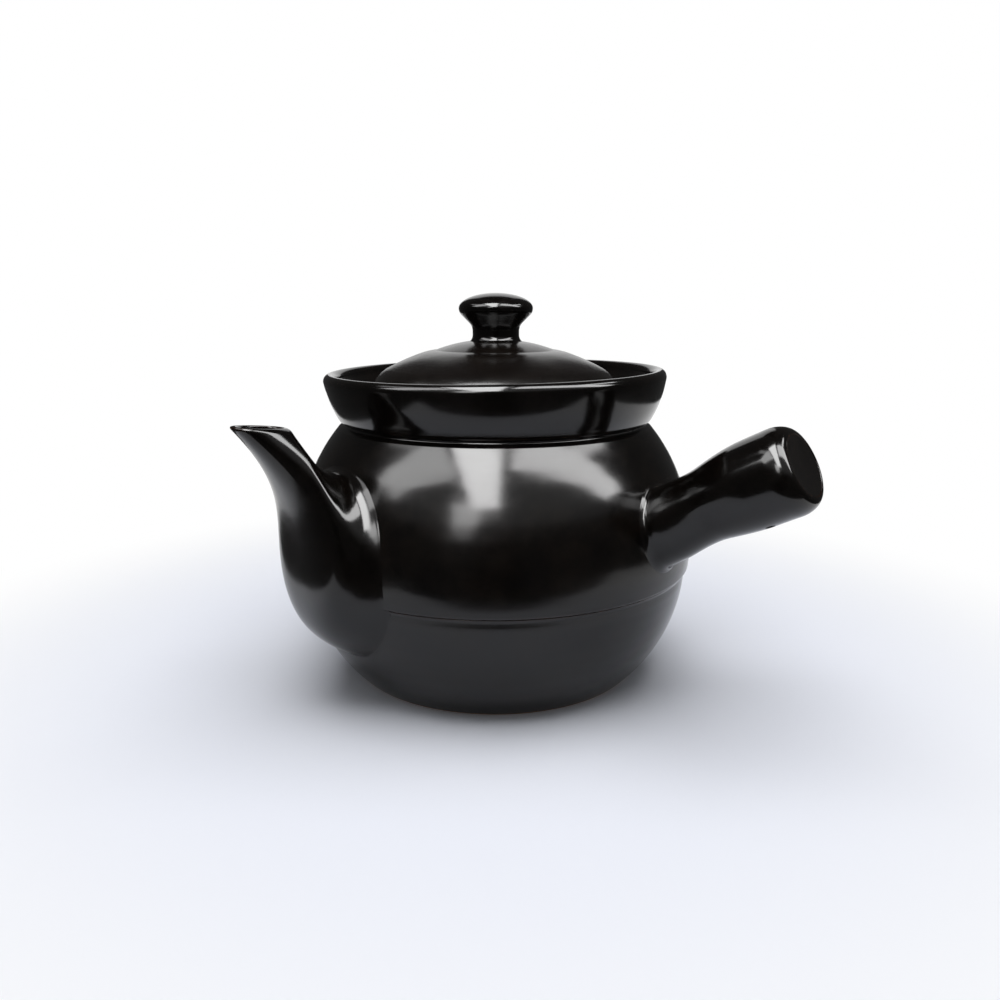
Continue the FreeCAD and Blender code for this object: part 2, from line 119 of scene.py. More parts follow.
class BodySizes(bpy.types.PropertyGroup):
    belly_radius: length("Belly radius", "Largest radius, on the upper shell", SHELL_HIGH.x)
    belly_height: length("Belly height", "Height of the largest radius", 63.5 * MM)
    neck_height: length("Neck height", "Top of the upper shell", SHELL_HIGH.z)
    neck_inset: length("Neck inset", "The neck is this far inside the belly", 20.3 * MM)
    seam_height: length("Seam height", "Joint between bowl and upper shell", BOWL_HIGH.z)
    seam_step: length("Seam step", "The upper shell stands proud by this", 2.2 * MM)
    seam_round: length("Seam rounding", "Rounding of the upper shell's lower edge", 1.9 * MM)
    seam_hollow: length("Seam hollow", "The bowl stands upright this far below the seam", 4.8 * MM)
    seam_cove: length("Seam cove", "Glaze-filled corner under the upper shell", 1.5 * MM)
    bowl_arc: length("Bowl arc", "Radius of the bowl's outline", 75.3 * MM)
    bowl_arc_rise: length("Bowl arc rise", "Its centre is this far above the seam", 2.2 * MM)
    shell_wall: length("Shell wall", "Wall of the upper shell", 6.0 * MM)
    bowl_wall: length("Bowl wall", "Wall of the bowl", 6.5 * MM)
    floor_thickness: length("Floor thickness", "Thickness of the base", 7.0 * MM)
    floor_round: length("Floor rounding", "Inner rounding between floor and wall", 8.0 * MM)
    foot_round: length("Foot rounding", "Between the side and the standing ring", 3.0 * MM)
    foot_width: length("Foot width", "Width of the standing ring", 9.0 * MM)
    foot_recess: length("Foot recess", "The middle of the base is raised by this", 1.2 * MM)
    groove_depth: length("Groove depth", "Groove under the collar", 2.6 * MM)
    groove_rise: length("Groove rise", "Bottom of that groove above the neck", 2.0 * MM)
    foot_rise: length("Collar foot rise", "Underside of the collar's foot above the neck", 3.5 * MM)
    foot_inset: length("Collar foot inset", "That underside lies this far inside the neck", 0.7 * MM)
    collar_foot: length("Collar foot", "Top of the collar's foot above the neck", 4.5 * MM)
    collar_foot_round: length("Collar foot rounding", "Between foot and flare", 1.5 * MM)
    collar_bulge: length("Collar bulge", "The flare bows outwards by this", 0.8 * MM)
    rim_height: length("Rim height", "Top of the collar", COLLAR_HIGH.z)
    lip_half_width: length("Lip half width", "Half the width of the rolled lip", 3.1 * MM)
    lip_half_height: length("Lip half height", "Half the height of the rolled lip", 3.6 * MM)
    wall_top: length("Collar wall", "Wall of the collar at the rim", 5.4 * MM)
    gutter_lean: length("Gutter lean", "The inner wall leans out by this", 8.0 * MM)
    gutter_round: length("Gutter rounding", "At the foot of the inner wall", 3.0 * MM)
    ledge_depth: length("Ledge depth", "The lid's ledge below the rim", 13.5 * MM)
    ledge_thickness: length("Ledge thickness", "At the throat", 6.0 * MM)
    ledge_width: length("Ledge width", "From the neck's inner wall to the throat", 11.8 * MM)
    rim_lean: length("Rim lean", "The hand-made rim rises to the right by this", 1.2 * MM)
    out_of_round: length("Out of round", "How far the thrown wall wavers inwards", 0.25 * MM)
    throwing_mark: length("Throwing mark", "Depth of the marks left by the fingers", 0.02 * MM)
    throwing_pitch: length("Throwing pitch", "Rise of those marks in one turn", 7.0 * MM)
    glaze_round: length("Glaze rounding", "Rounding that the glaze gives an edge", 0.8 * MM)


class SpoutSizes(bpy.types.PropertyGroup):
    azimuth: turn("Azimuth", "Direction of the spout about +Z from +X", -142.0)
    wall: length("Wall", "Wall at the root", 4.5 * MM)
    mouth_wall: length("Mouth wall", "Wall at the sides of the mouth", 2.8 * MM)
    beak_wall: length("Beak wall", "Wall at the tip and at the back of the mouth", 4.2 * MM)
    upper_squareness: number("Upper squareness", "Exponent of the upper half; 2 is an ellipse", 2.2)
    lower_squareness: number("Lower squareness", "Exponent of the lower half; 2 is an ellipse", 2.3)
    root_bottom: length("Root bottom", "Height of the root's lower end", 23.4 * MM)
    root_drop: length("Root drop", "Upper end of the root below the neck", 10.6 * MM)
    root_sink: length("Root sink", "Both ends lie this far inside the body", 1.2 * MM)
    root_half: length("Root half width", "Half width at the root", 39.5 * MM)
    belly_half: length("Belly half width", "Half width of the spout's belly", 31.0 * MM)
    middle_half: length("Middle half width", "Half width half way up", 26.6 * MM)
    neck_half: length("Neck half width", "Half width below the mouth", 19.3 * MM)
    mouth_half: length("Mouth half width", "Half width of the mouth", 8.0 * MM)
    bulge_out: length("Bulge out", "Under outline: reach of its belly", 33.7 * MM)
    bulge_up: length("Bulge up", "Under outline: rise of its belly", 22.6 * MM)
    waist_in: length("Waist in", "Under outline: its waist inside the belly", 13.0 * MM)
    waist_down: length("Waist down", "Under outline: its waist below the mouth", 54.6 * MM)
    saddle_in: length("Saddle in", "Upper outline: saddle inside the belly", 3.6 * MM)
    saddle_down: length("Saddle down", "Upper outline: saddle below the root", 10.8 * MM)
    neck_out: length("Neck out", "Upper outline: neck beyond the belly", 10.0 * MM)
    neck_up: length("Neck up", "Upper outline: neck above the root", 8.5 * MM)
    mouth_drop: length("Mouth drop", "The beak's tip below the rim", 16.0 * MM)
    mouth_tilt: length("Mouth tilt", "The back of the mouth lies this far below the tip", 2.5 * MM)
    mouth_reach: length("Mouth reach", "The beak beyond the belly", 37.0 * MM)
    mouth_length: length("Mouth length", "Length of the mouth", 24.9 * MM)
    lip_drop: length("Lip drop", "Height of the mouth's rounded lip", 1.6 * MM)
    root_fillet: length("Root fillet", "Glaze-filled corner at the root", 1.2 * MM)
    strainer_half: length("Strainer half width", "Half width of the strainer's field", 30.5 * MM)
    hole_radius: length("Strainer hole radius", "Radius of a strainer hole", 2.75 * MM)
    hole_pitch: length("Strainer pitch", "Spacing of the strainer holes", 10.0 * MM)
    hole_rows: bpy.props.IntProperty(
        name="Strainer rows", description="Rows of strainer holes", default=5)
    seam_margin: length("Strainer seam margin", "First row above the seam", 9.0 * MM)
    wall_margin: length("Strainer wall margin", "Holes keep this far off the wall", 5.0 * MM)


class HandleSizes(bpy.types.PropertyGroup):
    azimuth: turn("Azimuth", "Direction of the handle about +Z from +X", -38.0)
    drop: length("Drop", "Its axis passes the belly this far below the neck", 35.4 * MM)
    slope: number("Slope", "Rise of its axis per unit of reach at the belly", 0.657)
    droop: length("Droop", "Fall of the axis below that slope", 3.67 * MM)
    droop_reach: length("Droop reach", "Reach at which the droop is measured", 50.0 * MM)
    length: length("Length", "Reach of the last full section", 48.0 * MM)
    wall: length("Wall", "Wall of the tube", 5.8 * MM)
    waist_radius: length("Waist radius", "Thinnest radius", 14.1 * MM)
    waist_reach: length("Waist reach", "Reach of the waist", 3.0 * MM)
    swell_radius: length("Swell radius", "Thickest radius", 18.3 * MM)
    swell_reach: length("Swell reach", "Reach of the swell", 38.0 * MM)
    flare: length("Flare", "Extra radius of the luted root", 2.4 * MM)
    flare_reach: length("Flare reach", "Reach at which the flare ends", 20.0 * MM)
    root_depth: length("Root depth", "The tube starts this far inside the belly", 18.0 * MM)
    root_fillet: length("Root fillet", "Glaze-filled corner at the root", 2.4 * MM)
    end_round: length("End rounding", "Rounding of the closed end, across", 5.0 * MM)
    end_round_length: length("End rounding length", "And along the axis", 8.45 * MM)
    end_lip: length("End lip", "Flat rim around the end disc", 0.3 * MM)
    disc_thickness: length("Disc thickness", "Thickness of the end disc", 5.0 * MM)
    disc_recess: length("Disc recess", "The disc lies this far inside the rim", 0.1 * MM)
    disc_dish: length("Disc dish", "Its outer face is hollowed by this", 0.4 * MM)
    vent_radius: length("Vent radius", "Hole through which the handle breathes", 2.0 * MM)
    vent_reach: length("Vent reach", "Reach of the vent", 37.0 * MM)
    vent_turn: turn("Vent turn", "From straight down towards the front", 14.0)


class LidSizes(bpy.types.PropertyGroup):
    radius: length("Lid radius", "Radius of the lid", DOME_HIGH.x)
    bottom: length("Lid bottom", "Height of the lid's edge", DOME_LOW.z)
    wall: length("Lid wall", "Wall of the dome", 5.0 * MM)
    crown_arc: length("Crown arc", "Radius of the crown", 108.0 * MM)
    edge_arc: length("Edge arc", "Radius of the turned-down edge", 16.0 * MM)
    edge_round: length("Edge rounding", "Rounding of the edge", 1.5 * MM)
    ring_radius: length("Ring radius", "Outer radius of the ring", RING_HIGH.x)
    ring_bottom: length("Ring bottom", "Lower edge of the ring", RING_LOW.z)
    ring_width: length("Ring width", "Width of the ring", 4.3 * MM)
    skirt_radius: length("Skirt radius", "The crown flattens inside this radius", 36.0 * MM)
    skirt_bulge: length("Skirt bulge", "Bow of that flatter ring", 0.25 * MM)
    boss_radius: length("Boss radius", "Crease around the raised middle", 28.2 * MM)
    boss_drop: length("Boss drop", "That crease below the crown", 4.4 * MM)
    boss_bulge: length("Boss bulge", "Bow of the raised middle", 0.44 * MM)
    crease_round: length("Crease rounding", "Glaze in that crease", 0.5 * MM)
    knob_foot_radius: length("Knob foot radius", "Where the knob meets the lid", 12.4 * MM)
    knob_foot_drop: length("Knob foot drop", "That edge below the crown", 0.35 * MM)
    knob_foot_height: length("Knob foot height", "Height of the flared foot", 2.4 * MM)
    knob_stem_radius: length("Knob stem radius", "Radius of the stem", 11.05 * MM)
    knob_stem_round: length("Knob stem rounding", "Between the stem and the head", 5.0 * MM)
    knob_radius: length("Knob radius", "Radius of the mushroom head", KNOB_HIGH.x)
    knob_edge: length("Knob edge", "Half width of the oval under the head's edge", 5.0 * MM)
    knob_edge_height: length("Knob edge height", "Half height of that oval", 4.8 * MM)
    knob_middle: length("Knob middle", "Widest place of the head below the top", 7.0 * MM)
    knob_top: length("Knob top", "Top of the knob", KNOB_HIGH.z - 0.2 * MM)
    knob_shift: length("Knob shift", "The hand-set knob stands this far to the right", 0.5 * MM)


class GlazeLook(bpy.types.PropertyGroup):
    black: tint("Black glaze", "Body of the glaze", "#070504")
    umber: tint("Umber", "Warm patches where the iron has crystallised", "#0F0A06")
    brown: tint("Thin glaze", "Where the glaze runs thin on an edge", "#3A2213")
    lid: tint("Lid glaze", "The lid's slightly browner glaze", "#0C0806")
    disc: tint("Disc glaze", "Thin glaze wiped over the handle's end", "#0B0705")
    clay: tint("Clay", "Bare fired clay", "#9A7554")
    speck: tint("Iron specks", "Dark specks in the bare clay", "#4B3524")
    roughness: number("Roughness", "Mean roughness of the body's glaze", 0.165)
    bright_roughness: number("Bright roughness", "Mean roughness on the luted members", 0.13)
    lid_roughness: number("Lid roughness", "Mean roughness of the lid's glaze", 0.22)
    waver: length("Waver", "Height of the slow waves in the glaze", 0.10 * MM)
    waver_size: length("Waver size", "Size of those waves", 24.0 * MM)
    peel: length("Peel", "Height of the fine pitting", 0.004 * MM)
    peel_size: length("Peel size", "Size of the fine pitting", 1.6 * MM)


class StudioSettings(bpy.types.PropertyGroup):
    camera_distance: length("Camera distance", "From the pot's axis to the lens", 0.420)
    camera_height: length("Camera height", "Height of the lens", 176.729 * MM)
    camera_pitch: turn("Camera pitch", "The lens looks down by this", 12.8474)
    camera_yaw: turn("Camera yaw", "And to the right by this", 0.3354)
    focal_length: number("Focal length", "In millimetres on a 36 mm sensor", 31.3636)
    lamp_height: length("Lamp height", "Height of the overhead lamps", 0.70)
    fill: number("Fill", "Strength of the world's light on matt surfaces", 0.25)
    softbox: number("Softbox", "Radiance of the overhead softbox on matt surfaces", 3.4)
    gloss_light: number("Gloss light", "Factor on the strips that the glaze mirrors", 1.19)
    card: tint("Card", "Pale floor", "#E2E5EE")
    fade_start: length("Fade start", "The floor runs into white from this far out", 0.14)
    fade_end: length("Fade end", "And is all white from here", 0.36)
    table_left: length("Table left", "Left edge of the mirrored table, at its front", -0.215)
    table_lean: number("Table lean", "That edge leans out by this per unit towards the back", 0.12)
    table_right: length("Table right", "Right edge of the mirrored table", 0.36)
    table_front: length("Table front", "Front edge of the mirrored table", -0.205)
    gap_half: turn("Gap half width", "Half width of the gap in the drapes behind the pot", 15.5)
    gap_top: turn("Gap top", "The gap reaches up to this", 39.0)


# ------------------------------------------------------------------ node helper
def add(tree, kind, sockets=None, **settings):
    """Add a node with its settings, and set or link its sockets by name or number."""
    node = tree.nodes.new(kind)
    for name, value in settings.items():
        setattr(node, name, value)
    for socket, value in (sockets or {}).items():
        if isinstance(value, bpy.types.NodeSocket):
            tree.links.new(value, node.inputs[socket])
        else:
            node.inputs[socket].default_value = value
    return node


def empty_material(name):
    """New node material and its empty tree."""
    material = bpy.data.materials.new(name)
    material.use_nodes = True
    material.node_tree.nodes.clear()
    return material, material.node_tree


def seen_share(tree):
    """One for camera, glossy and transmission rays, nought for all others."""
    path = add(tree, "ShaderNodeLightPath").outputs
    seen = path["Is Camera Ray"]
    for ray in ("Is Glossy Ray", "Is Transmission Ray"):
        seen = add(tree, "ShaderNodeMath", {0: seen, 1: path[ray]}, operation="MAXIMUM").outputs[0]
    return seen


def new_group(name, inputs):
    """Geometry tree with a geometry socket each way and the named inputs."""
    tree = bpy.data.node_groups.new(name, "GeometryNodeTree")
    tree.interface.new_socket(name="Geometry", in_out="INPUT", socket_type="NodeSocketGeometry")
    tree.interface.new_socket(name="Geometry", in_out="OUTPUT", socket_type="NodeSocketGeometry")
    for label, kind in inputs.items():
        tree.interface.new_socket(name=label, in_out="INPUT", socket_type="NodeSocket" + kind)
    return tree, tree.nodes.new("NodeGroupInput").outputs


def applied(name, mesh, tree, values):
    """The mesh that a geometry tree makes of a mesh, with the tree's inputs set."""
    holder = bpy.data.objects.new(name + "_work", mesh)
    bpy.context.scene.collection.objects.link(holder)
    modifier = holder.modifiers.new(tree.name, "NODES")
    modifier.node_group = tree
    for item in tree.interface.items_tree:
        if item.in_out == "INPUT" and item.name in values:
            modifier[item.identifier] = values[item.name]
    graph = bpy.context.evaluated_depsgraph_get()
    result = bpy.data.meshes.new_from_object(holder.evaluated_get(graph))
    holder.modifiers.clear()
    bpy.data.objects.remove(holder)
    return result


# ------------------------------------------------------------------ outlines
def arc(centre, radius, start, end, step=RUN / 2):
    """Points of an arc between two angles in radians, as (radius, height) pairs."""
    count = max(2, math.ceil(abs(end - start) * radius / step))
    points = []
    for index in range(count + 1):
        angle = start + (end - start) * index / count
        points.append((centre[0] + radius * math.cos(angle), centre[1] + radius * math.sin(angle)))
    return points


def arc_between(centre, radius, start_height, end_height):
    """Outer arc about a centre between two heights."""
    angles = []
    for height in (start_height, end_height):
        angles.append(math.asin(max(-1.0, min(1.0, (height - centre[1]) / radius))))
    return arc(centre, radius, *angles)


def bowed(start, end, bulge):
    """Arc between two points whose middle stands out by bulge, to the right of its run."""
    a, b = Vector(start), Vector(end)
    chord = b - a
    out = Vector((chord.y, -chord.x)).normalized()
    half = chord.length / 2
    radius = (half ** 2 + bulge ** 2) / (2 * abs(bulge))
    centre = (a + b) / 2 + out * (bulge - math.copysign(radius, bulge))
    first = math.atan2(a.y - centre.y, a.x - centre.x)
    sweep = math.copysign(2 * math.asin(half / radius), bulge)
    return arc(centre, radius, first, first + sweep, RUN / 3)


def oval(centre, across, up, start, end, steps=24):
    """Points of an upright oval between two angles in radians."""
    points = []
    for index in range(steps + 1):
        angle = start + (end - start) * index / steps
        points.append((centre[0] + across * math.cos(angle), centre[1] + up * math.sin(angle)))
    return points


def reach_of(centre, radius, height):
    """Distance from the axis of the outer side of an arc, at a height."""
    return centre[0] + math.sqrt(radius ** 2 - (height - centre[1]) ** 2)


def softened(outline):
    """Outline with its marked corners rounded and its long runs divided.

    A corner is a triple of radius, height and rounding; other points are pairs.
    """
    points = [Vector(p[:2]) for p in outline]
    stations = [0.0]
    for before, after in zip(points, points[1:]):
        stations.append(stations[-1] + (after - before).length)

    def point_at(station):
        for i in range(len(points) - 1):
            if station <= stations[i + 1] or i == len(points) - 2:
                span = max(stations[i + 1] - stations[i], 1e-9)
                return points[i].lerp(points[i + 1], (station - stations[i]) / span)

    chain = []
    spans = []
    for i, mark in enumerate(outline):
        if len(mark) == 3 and mark[2] > 0:
            turn_angle = (points[i] - points[i - 1]).angle(points[i + 1] - points[i])
            reach = mark[2] * math.tan(turn_angle / 2)
            start, end = stations[i] - reach, stations[i] + reach
            a, b, weight = point_at(start), point_at(end), math.cos(turn_angle / 2)
            spans.append((start, end))
            steps = max(4, math.ceil(turn_angle / math.radians(11)))
            for k in range(steps + 1):
                s = k / steps
                shares = ((1 - s) ** 2, 2 * weight * s * (1 - s), s ** 2)
                blend = (a * shares[0] + points[i] * shares[1] + b * shares[2]) / sum(shares)
                chain.append((start + (end - start) * s, blend))
    for station, point in zip(stations, points):
        if not any(start <= station <= end for start, end in spans):
            chain.append((station, point))
    chain.sort(key=lambda pair: pair[0])
    result = [chain[0][1]]
    for _, point in chain[1:]:
        gap = (point - result[-1]).length
        if gap < 0.01 * MM:
            continue
        steps = math.ceil(gap / RUN)
        last = result[-1]
        for k in range(1, steps + 1):
            result.append(last.lerp(point, k / steps))
    return result


# ------------------------------------------------------------------ turned members
def turning_tree():
    """Turns an outline about +Z, with the wavering and the finger marks of thrown clay."""
    tree, given = new_group("Turned clay", {
        "Segments": "Int", "Out of Round": "Float", "Mark": "Float", "Mark Pitch": "Float",
        "Lean": "Float", "Lean From": "Float", "Lean To": "Float", "Material": "Material"})

    def math_node(operation, *values):
        return add(tree, "ShaderNodeMath", dict(enumerate(values)), operation=operation).outputs[0]

    size = add(tree, "GeometryNodeAttributeDomainSize", {"Geometry": given["Geometry"]})
    rows = size.outputs["Point Count"]
    columns = math_node("ADD", given["Segments"], 1.0)
    grid = add(tree, "GeometryNodeMeshGrid", {"Vertices X": columns, "Vertices Y": rows})
    index = add(tree, "GeometryNodeInputIndex").outputs[0]
    column = math_node("FLOOR", math_node("DIVIDE", index, rows))
    row = math_node("SUBTRACT", index, math_node("MULTIPLY", column, rows))
    angle = math_node("MULTIPLY", math_node("DIVIDE", column, given["Segments"]), math.tau)
    place = add(tree, "GeometryNodeInputPosition").outputs[0]
    outline = add(tree, "GeometryNodeSampleIndex", {
        "Geometry": given["Geometry"], "Value": place, "Index": row}, data_type="FLOAT_VECTOR")
    spun = add(tree, "ShaderNodeVectorRotate", {
        "Vector": outline.outputs[0], "Angle": angle}, rotation_type="Z_AXIS").outputs[0]

    parts = add(tree, "ShaderNodeSeparateXYZ", {0: outline.outputs[0]}).outputs
    oval = math_node("COSINE", math_node("ADD", math_node("MULTIPLY", angle, 2.0), 0.7))
    oval = math_node("MULTIPLY", math_node("SUBTRACT", oval, 1.0), given["Out of Round"])
    climb = math_node("MULTIPLY", math_node("DIVIDE", parts["Z"], given["Mark Pitch"]), math.tau)
    marks = math_node("SINE", math_node("SUBTRACT", climb, angle))
    marks = math_node("MULTIPLY", math_node("SUBTRACT", marks, 1.0), given["Mark"])
    inwards = math_node("MULTIPLY", math_node("ADD", oval, marks), 0.5)
    centre_share = add(tree, "ShaderNodeMapRange", {
        "Value": parts["X"], "From Min": 0.0, "From Max": 30 * MM}).outputs[0]
    inwards = math_node("MULTIPLY", inwards, centre_share)
    lean_share = add(tree, "ShaderNodeMapRange", {
        "Value": parts["Z"], "From Min": given["Lean From"], "From Max": given["Lean To"]},
        interpolation_type="SMOOTHSTEP").outputs[0]
    rise = math_node("MULTIPLY", math_node("MULTIPLY", math_node("COSINE", angle), given["Lean"]),
                     lean_share)
    offset = add(tree, "ShaderNodeCombineXYZ", {
        0: math_node("MULTIPLY", math_node("COSINE", angle), inwards),
        1: math_node("MULTIPLY", math_node("SINE", angle), inwards), 2: rise})
    moved = add(tree, "GeometryNodeSetPosition", {
        "Geometry": grid.outputs["Mesh"], "Position": spun, "Offset": offset.outputs[0]})
    closed = add(tree, "GeometryNodeMergeByDistance", {
        "Geometry": moved.outputs[0], "Distance": 0.002 * MM})
    whole = add(tree, "GeometryNodeRealizeInstances", {"Geometry": closed.outputs[0]})
    clad = add(tree, "GeometryNodeSetMaterial", {
        "Geometry": whole.outputs[0], "Material": given["Material"]})
    add(tree, "NodeGroupOutput", {0: clad.outputs[0]})
    return tree


def turned(name, outline, material, lean=0.0, lean_from=0.0, lean_to=1.0, wavers=True):
    """Mesh turned from an outline that runs with the clay on its left."""
    points = softened(outline)
    chain = bpy.data.meshes.new(name + "_outline")
    edges = [(i, i + 1) for i in range(len(points) - 1)]
    chain.from_pydata([(p.x, 0.0, p.y) for p in points], edges, [])
    body = bpy.context.scene.pot_body
    tree = bpy.data.node_groups.get("Turned clay") or turning_tree()
    return applied(name, chain, tree, {
        "Segments": SEGMENTS, "Out of Round": body.out_of_round if wavers else 0.0,
        "Mark": body.throwing_mark, "Mark Pitch": body.throwing_pitch, "Lean": lean,
        "Lean From": lean_from, "Lean To": lean_to, "Material": material})


# ------------------------------------------------------------------ drilled holes
def drilling_tree():
    """Drills staggered rows of holes inside an oval field."""
    tree, given = new_group("Drilled holes", {
        "Rows": "Int", "Columns": "Int", "Pitch": "Float", "Hole Radius": "Float",
        "Depth": "Float", "Half Width": "Float", "Half Height": "Float", "Field Rise": "Float",
        "Origin": "Vector", "Rotation": "Rotation", "Material": "Material"})

    def math_node(operation, *values):
        return add(tree, "ShaderNodeMath", dict(enumerate(values)), operation=operation).outputs[0]

    rise = math_node("MULTIPLY", given["Pitch"], math.sqrt(3) / 2)
    wide = math_node("MULTIPLY", math_node("SUBTRACT", given["Columns"], 1.0), given["Pitch"])
    high = math_node("MULTIPLY", math_node("SUBTRACT", given["Rows"], 1.0), rise)
    grid = add(tree, "GeometryNodeMeshGrid", {
        "Size X": wide, "Size Y": high, "Vertices X": given["Columns"],
        "Vertices Y": given["Rows"]})
    index = add(tree, "GeometryNodeInputIndex").outputs[0]
    row = math_node("FLOORED_MODULO", index, given["Rows"])
    shift = math_node("MULTIPLY", math_node("FLOORED_MODULO", row, 2.0), given["Pitch"])
    half_shift = add(tree, "ShaderNodeCombineXYZ", {0: math_node("MULTIPLY", shift, 0.5)})
    staggered = add(tree, "GeometryNodeSetPosition", {
        "Geometry": grid.outputs["Mesh"], "Offset": half_shift.outputs[0]})
    place = add(tree, "ShaderNodeSeparateXYZ", {0: add(tree, "GeometryNodeInputPosition").outputs[0]})
    across = math_node("DIVIDE", place.outputs["X"], given["Half Width"])
    up = math_node("DIVIDE", math_node("SUBTRACT", place.outputs["Y"], given["Field Rise"]),
                   given["Half Height"])
    span = math_node("ADD", math_node("MULTIPLY", across, across), math_node("MULTIPLY", up, up))
    outside = add(tree, "FunctionNodeCompare", {0: span, 1: 1.0}, operation="GREATER_THAN")
    field = add(tree, "GeometryNodeDeleteGeometry", {
        "Geometry": staggered.outputs[0], "Selection": outside.outputs[0]})
    drill = add(tree, "GeometryNodeMeshCylinder", {
        "Vertices": 32, "Radius": given["Hole Radius"], "Depth": given["Depth"]})
    drills = add(tree, "GeometryNodeInstanceOnPoints", {
        "Points": field.outputs[0], "Instance": drill.outputs["Mesh"]})
    real = add(tree, "GeometryNodeRealizeInstances", {"Geometry": drills.outputs[0]})
    aimed = add(tree, "GeometryNodeTransform", {
        "Geometry": real.outputs[0], "Translation": given["Origin"],
        "Rotation": given["Rotation"]})
    pierced = add(tree, "GeometryNodeMeshBoolean", {
        "Mesh 1": given["Geometry"], "Mesh 2": aimed.outputs[0]}, operation="DIFFERENCE",
        solver="MANIFOLD")
    whole = add(tree, "GeometryNodeRealizeInstances", {"Geometry": pierced.outputs["Mesh"]})
    clad = add(tree, "GeometryNodeSetMaterial", {
        "Geometry": whole.outputs[0], "Material": given["Material"]})
    add(tree, "NodeGroupOutput", {0: clad.outputs[0]})
    return tree


def drilled(name, mesh, across, up, origin, values):
    """Mesh with holes drilled along across x up, in a field about an origin."""
    tree = bpy.data.node_groups.get("Drilled holes") or drilling_tree()
    turn_to = Matrix((across, up, across.cross(up))).transposed().to_euler()
    given = dict(values, Origin=tuple(origin), Rotation=tuple(turn_to))
    return applied(name, mesh, tree, given)


# ------------------------------------------------------------------ the body's surface
def shell_arc():
    """Centre and radius of the upper shell's outline."""
    body = bpy.context.scene.pot_body
    rise = body.neck_height - body.belly_height
    radius = (body.neck_inset ** 2 + rise ** 2) / (2 * body.neck_inset)
    return (body.belly_radius - radius, body.belly_height), radius


def bowl_arc():
    """Centre and radius of the bowl's outline."""
    body = bpy.context.scene.pot_body
    reach = body.belly_radius - body.seam_step - body.bowl_arc
    return (reach, body.seam_height + body.bowl_arc_rise), body.bowl_arc


def smooth_step(share):
    share = min(max(share, 0.0), 1.0)
    return share * share * (3 - 2 * share)


class BodySurface:
    """Signed distance to the outside of the body, and the way out from it."""

    def __init__(self):
        self.bowl = bowl_arc()
        self.shell = shell_arc()
        self.seam = bpy.context.scene.pot_body.seam_height
        self.step = bpy.context.scene.pot_body.seam_round

    def measure(self, point):
        share = smooth_step((point.z - self.seam) / self.step)
        radius = math.hypot(point.x, point.y)
        distance = 0.0
        out = Vector((0, 0))
        for (centre, arc_radius), weight in ((self.bowl, 1 - share), (self.shell, share)):
            arm = Vector((radius - centre[0], point.z - centre[1]))
            distance += weight * (arm.length - arc_radius)
            out += arm.normalized() * weight
        out.normalize()
        return distance, Vector((point.x / radius * out.x, point.y / radius * out.x, out.y))


def crossing(function, start, end, level, steps=120):
    """First value between start and end at which a function rises through a level."""
    low = start
    for index in range(1, steps + 1):
        high = start + (end - start) * index / steps
        if function(high) >= level:
            for _ in range(24):
                middle = (low + high) / 2
                if function(middle) < level:
                    low = middle
                else:
                    high = middle
            return high
        low = high
    raise RuntimeError("a luted member never leaves the body")


def filleted(surface, point, centre, fillet, climb):
    """Point of a luted member, spread over the body where its corner is filled.

    The climb is the rise from the body per unit of run: a shallow corner is filled less.
    """
    distance, out = surface.measure(point)
    if distance >= fillet:
        return point
    share = 1 - max(distance, 0.0) / fillet
    spread = fillet * climb ** 2 * (1 - math.sqrt(1 - share ** 2))
    away = point - centre
    away -= out * away.dot(out)
    return point + away.normalized() * spread


def lofted(name, rings, material):
    """Closed mesh through rings of points, joined end to end."""
    count = len(rings[0])
    points = [point for ring in rings for point in ring]
    faces = []
    for i in range(len(rings)):
        here = i * count
        there = (i + 1) % len(rings) * count
        for j in range(count):
            k = (j + 1) % count
            faces.append((here + j, here + k, there + k, there + j))
    mesh = bpy.data.meshes.new(name)
    mesh.from_pydata(points, [], faces)
    mesh.materials.append(material)
    return mesh


# ------------------------------------------------------------------ finishing a member
def store_wear(mesh, bare):
    """Write how convex each point is, where glaze runs thin, and where the clay is bare."""
    count = len(mesh.vertices)
    places = np.empty(count * 3)
    normals = np.empty(count * 3)
    ends = np.empty(len(mesh.edges) * 2, dtype=np.int64)
    mesh.vertices.foreach_get("co", places)
    mesh.vertices.foreach_get("normal", normals)
    mesh.edges.foreach_get("vertices", ends)
    places = places.reshape(-1, 3)
    normals = normals.reshape(-1, 3)
    first, last = ends[::2], ends[1::2]
    run = places[last] - places[first]
    square = np.maximum((run ** 2).sum(1), 1e-12)
    bends = np.zeros(count)
    number_of = np.zeros(count)
    np.add.at(bends, first, -2 * (normals[first] * run).sum(1) / square)
    np.add.at(bends, last, 2 * (normals[last] * run).sum(1) / square)
    np.add.at(number_of, first, 1)
    np.add.at(number_of, last, 1)
    number_of = np.maximum(number_of, 1)
    bends /= number_of
    soft, tight = 1 / (2 * 6 * MM), 1 / (2 * 1.2 * MM)
    thin = np.clip((bends - soft) / (tight - soft), 0, 1)
    for _ in range(3):
        total = np.zeros(count)
        np.add.at(total, first, thin[last])
        np.add.at(total, last, thin[first])
        thin = (thin + total / number_of) / 2
    values = {"thin": thin, "bare": np.array([bare(*p) for p in places]) if bare else np.zeros(count)}
    for name, value in values.items():
        attribute = mesh.attributes.new(name, "FLOAT", "POINT")
        attribute.data.foreach_set("value", value.astype(np.float32))


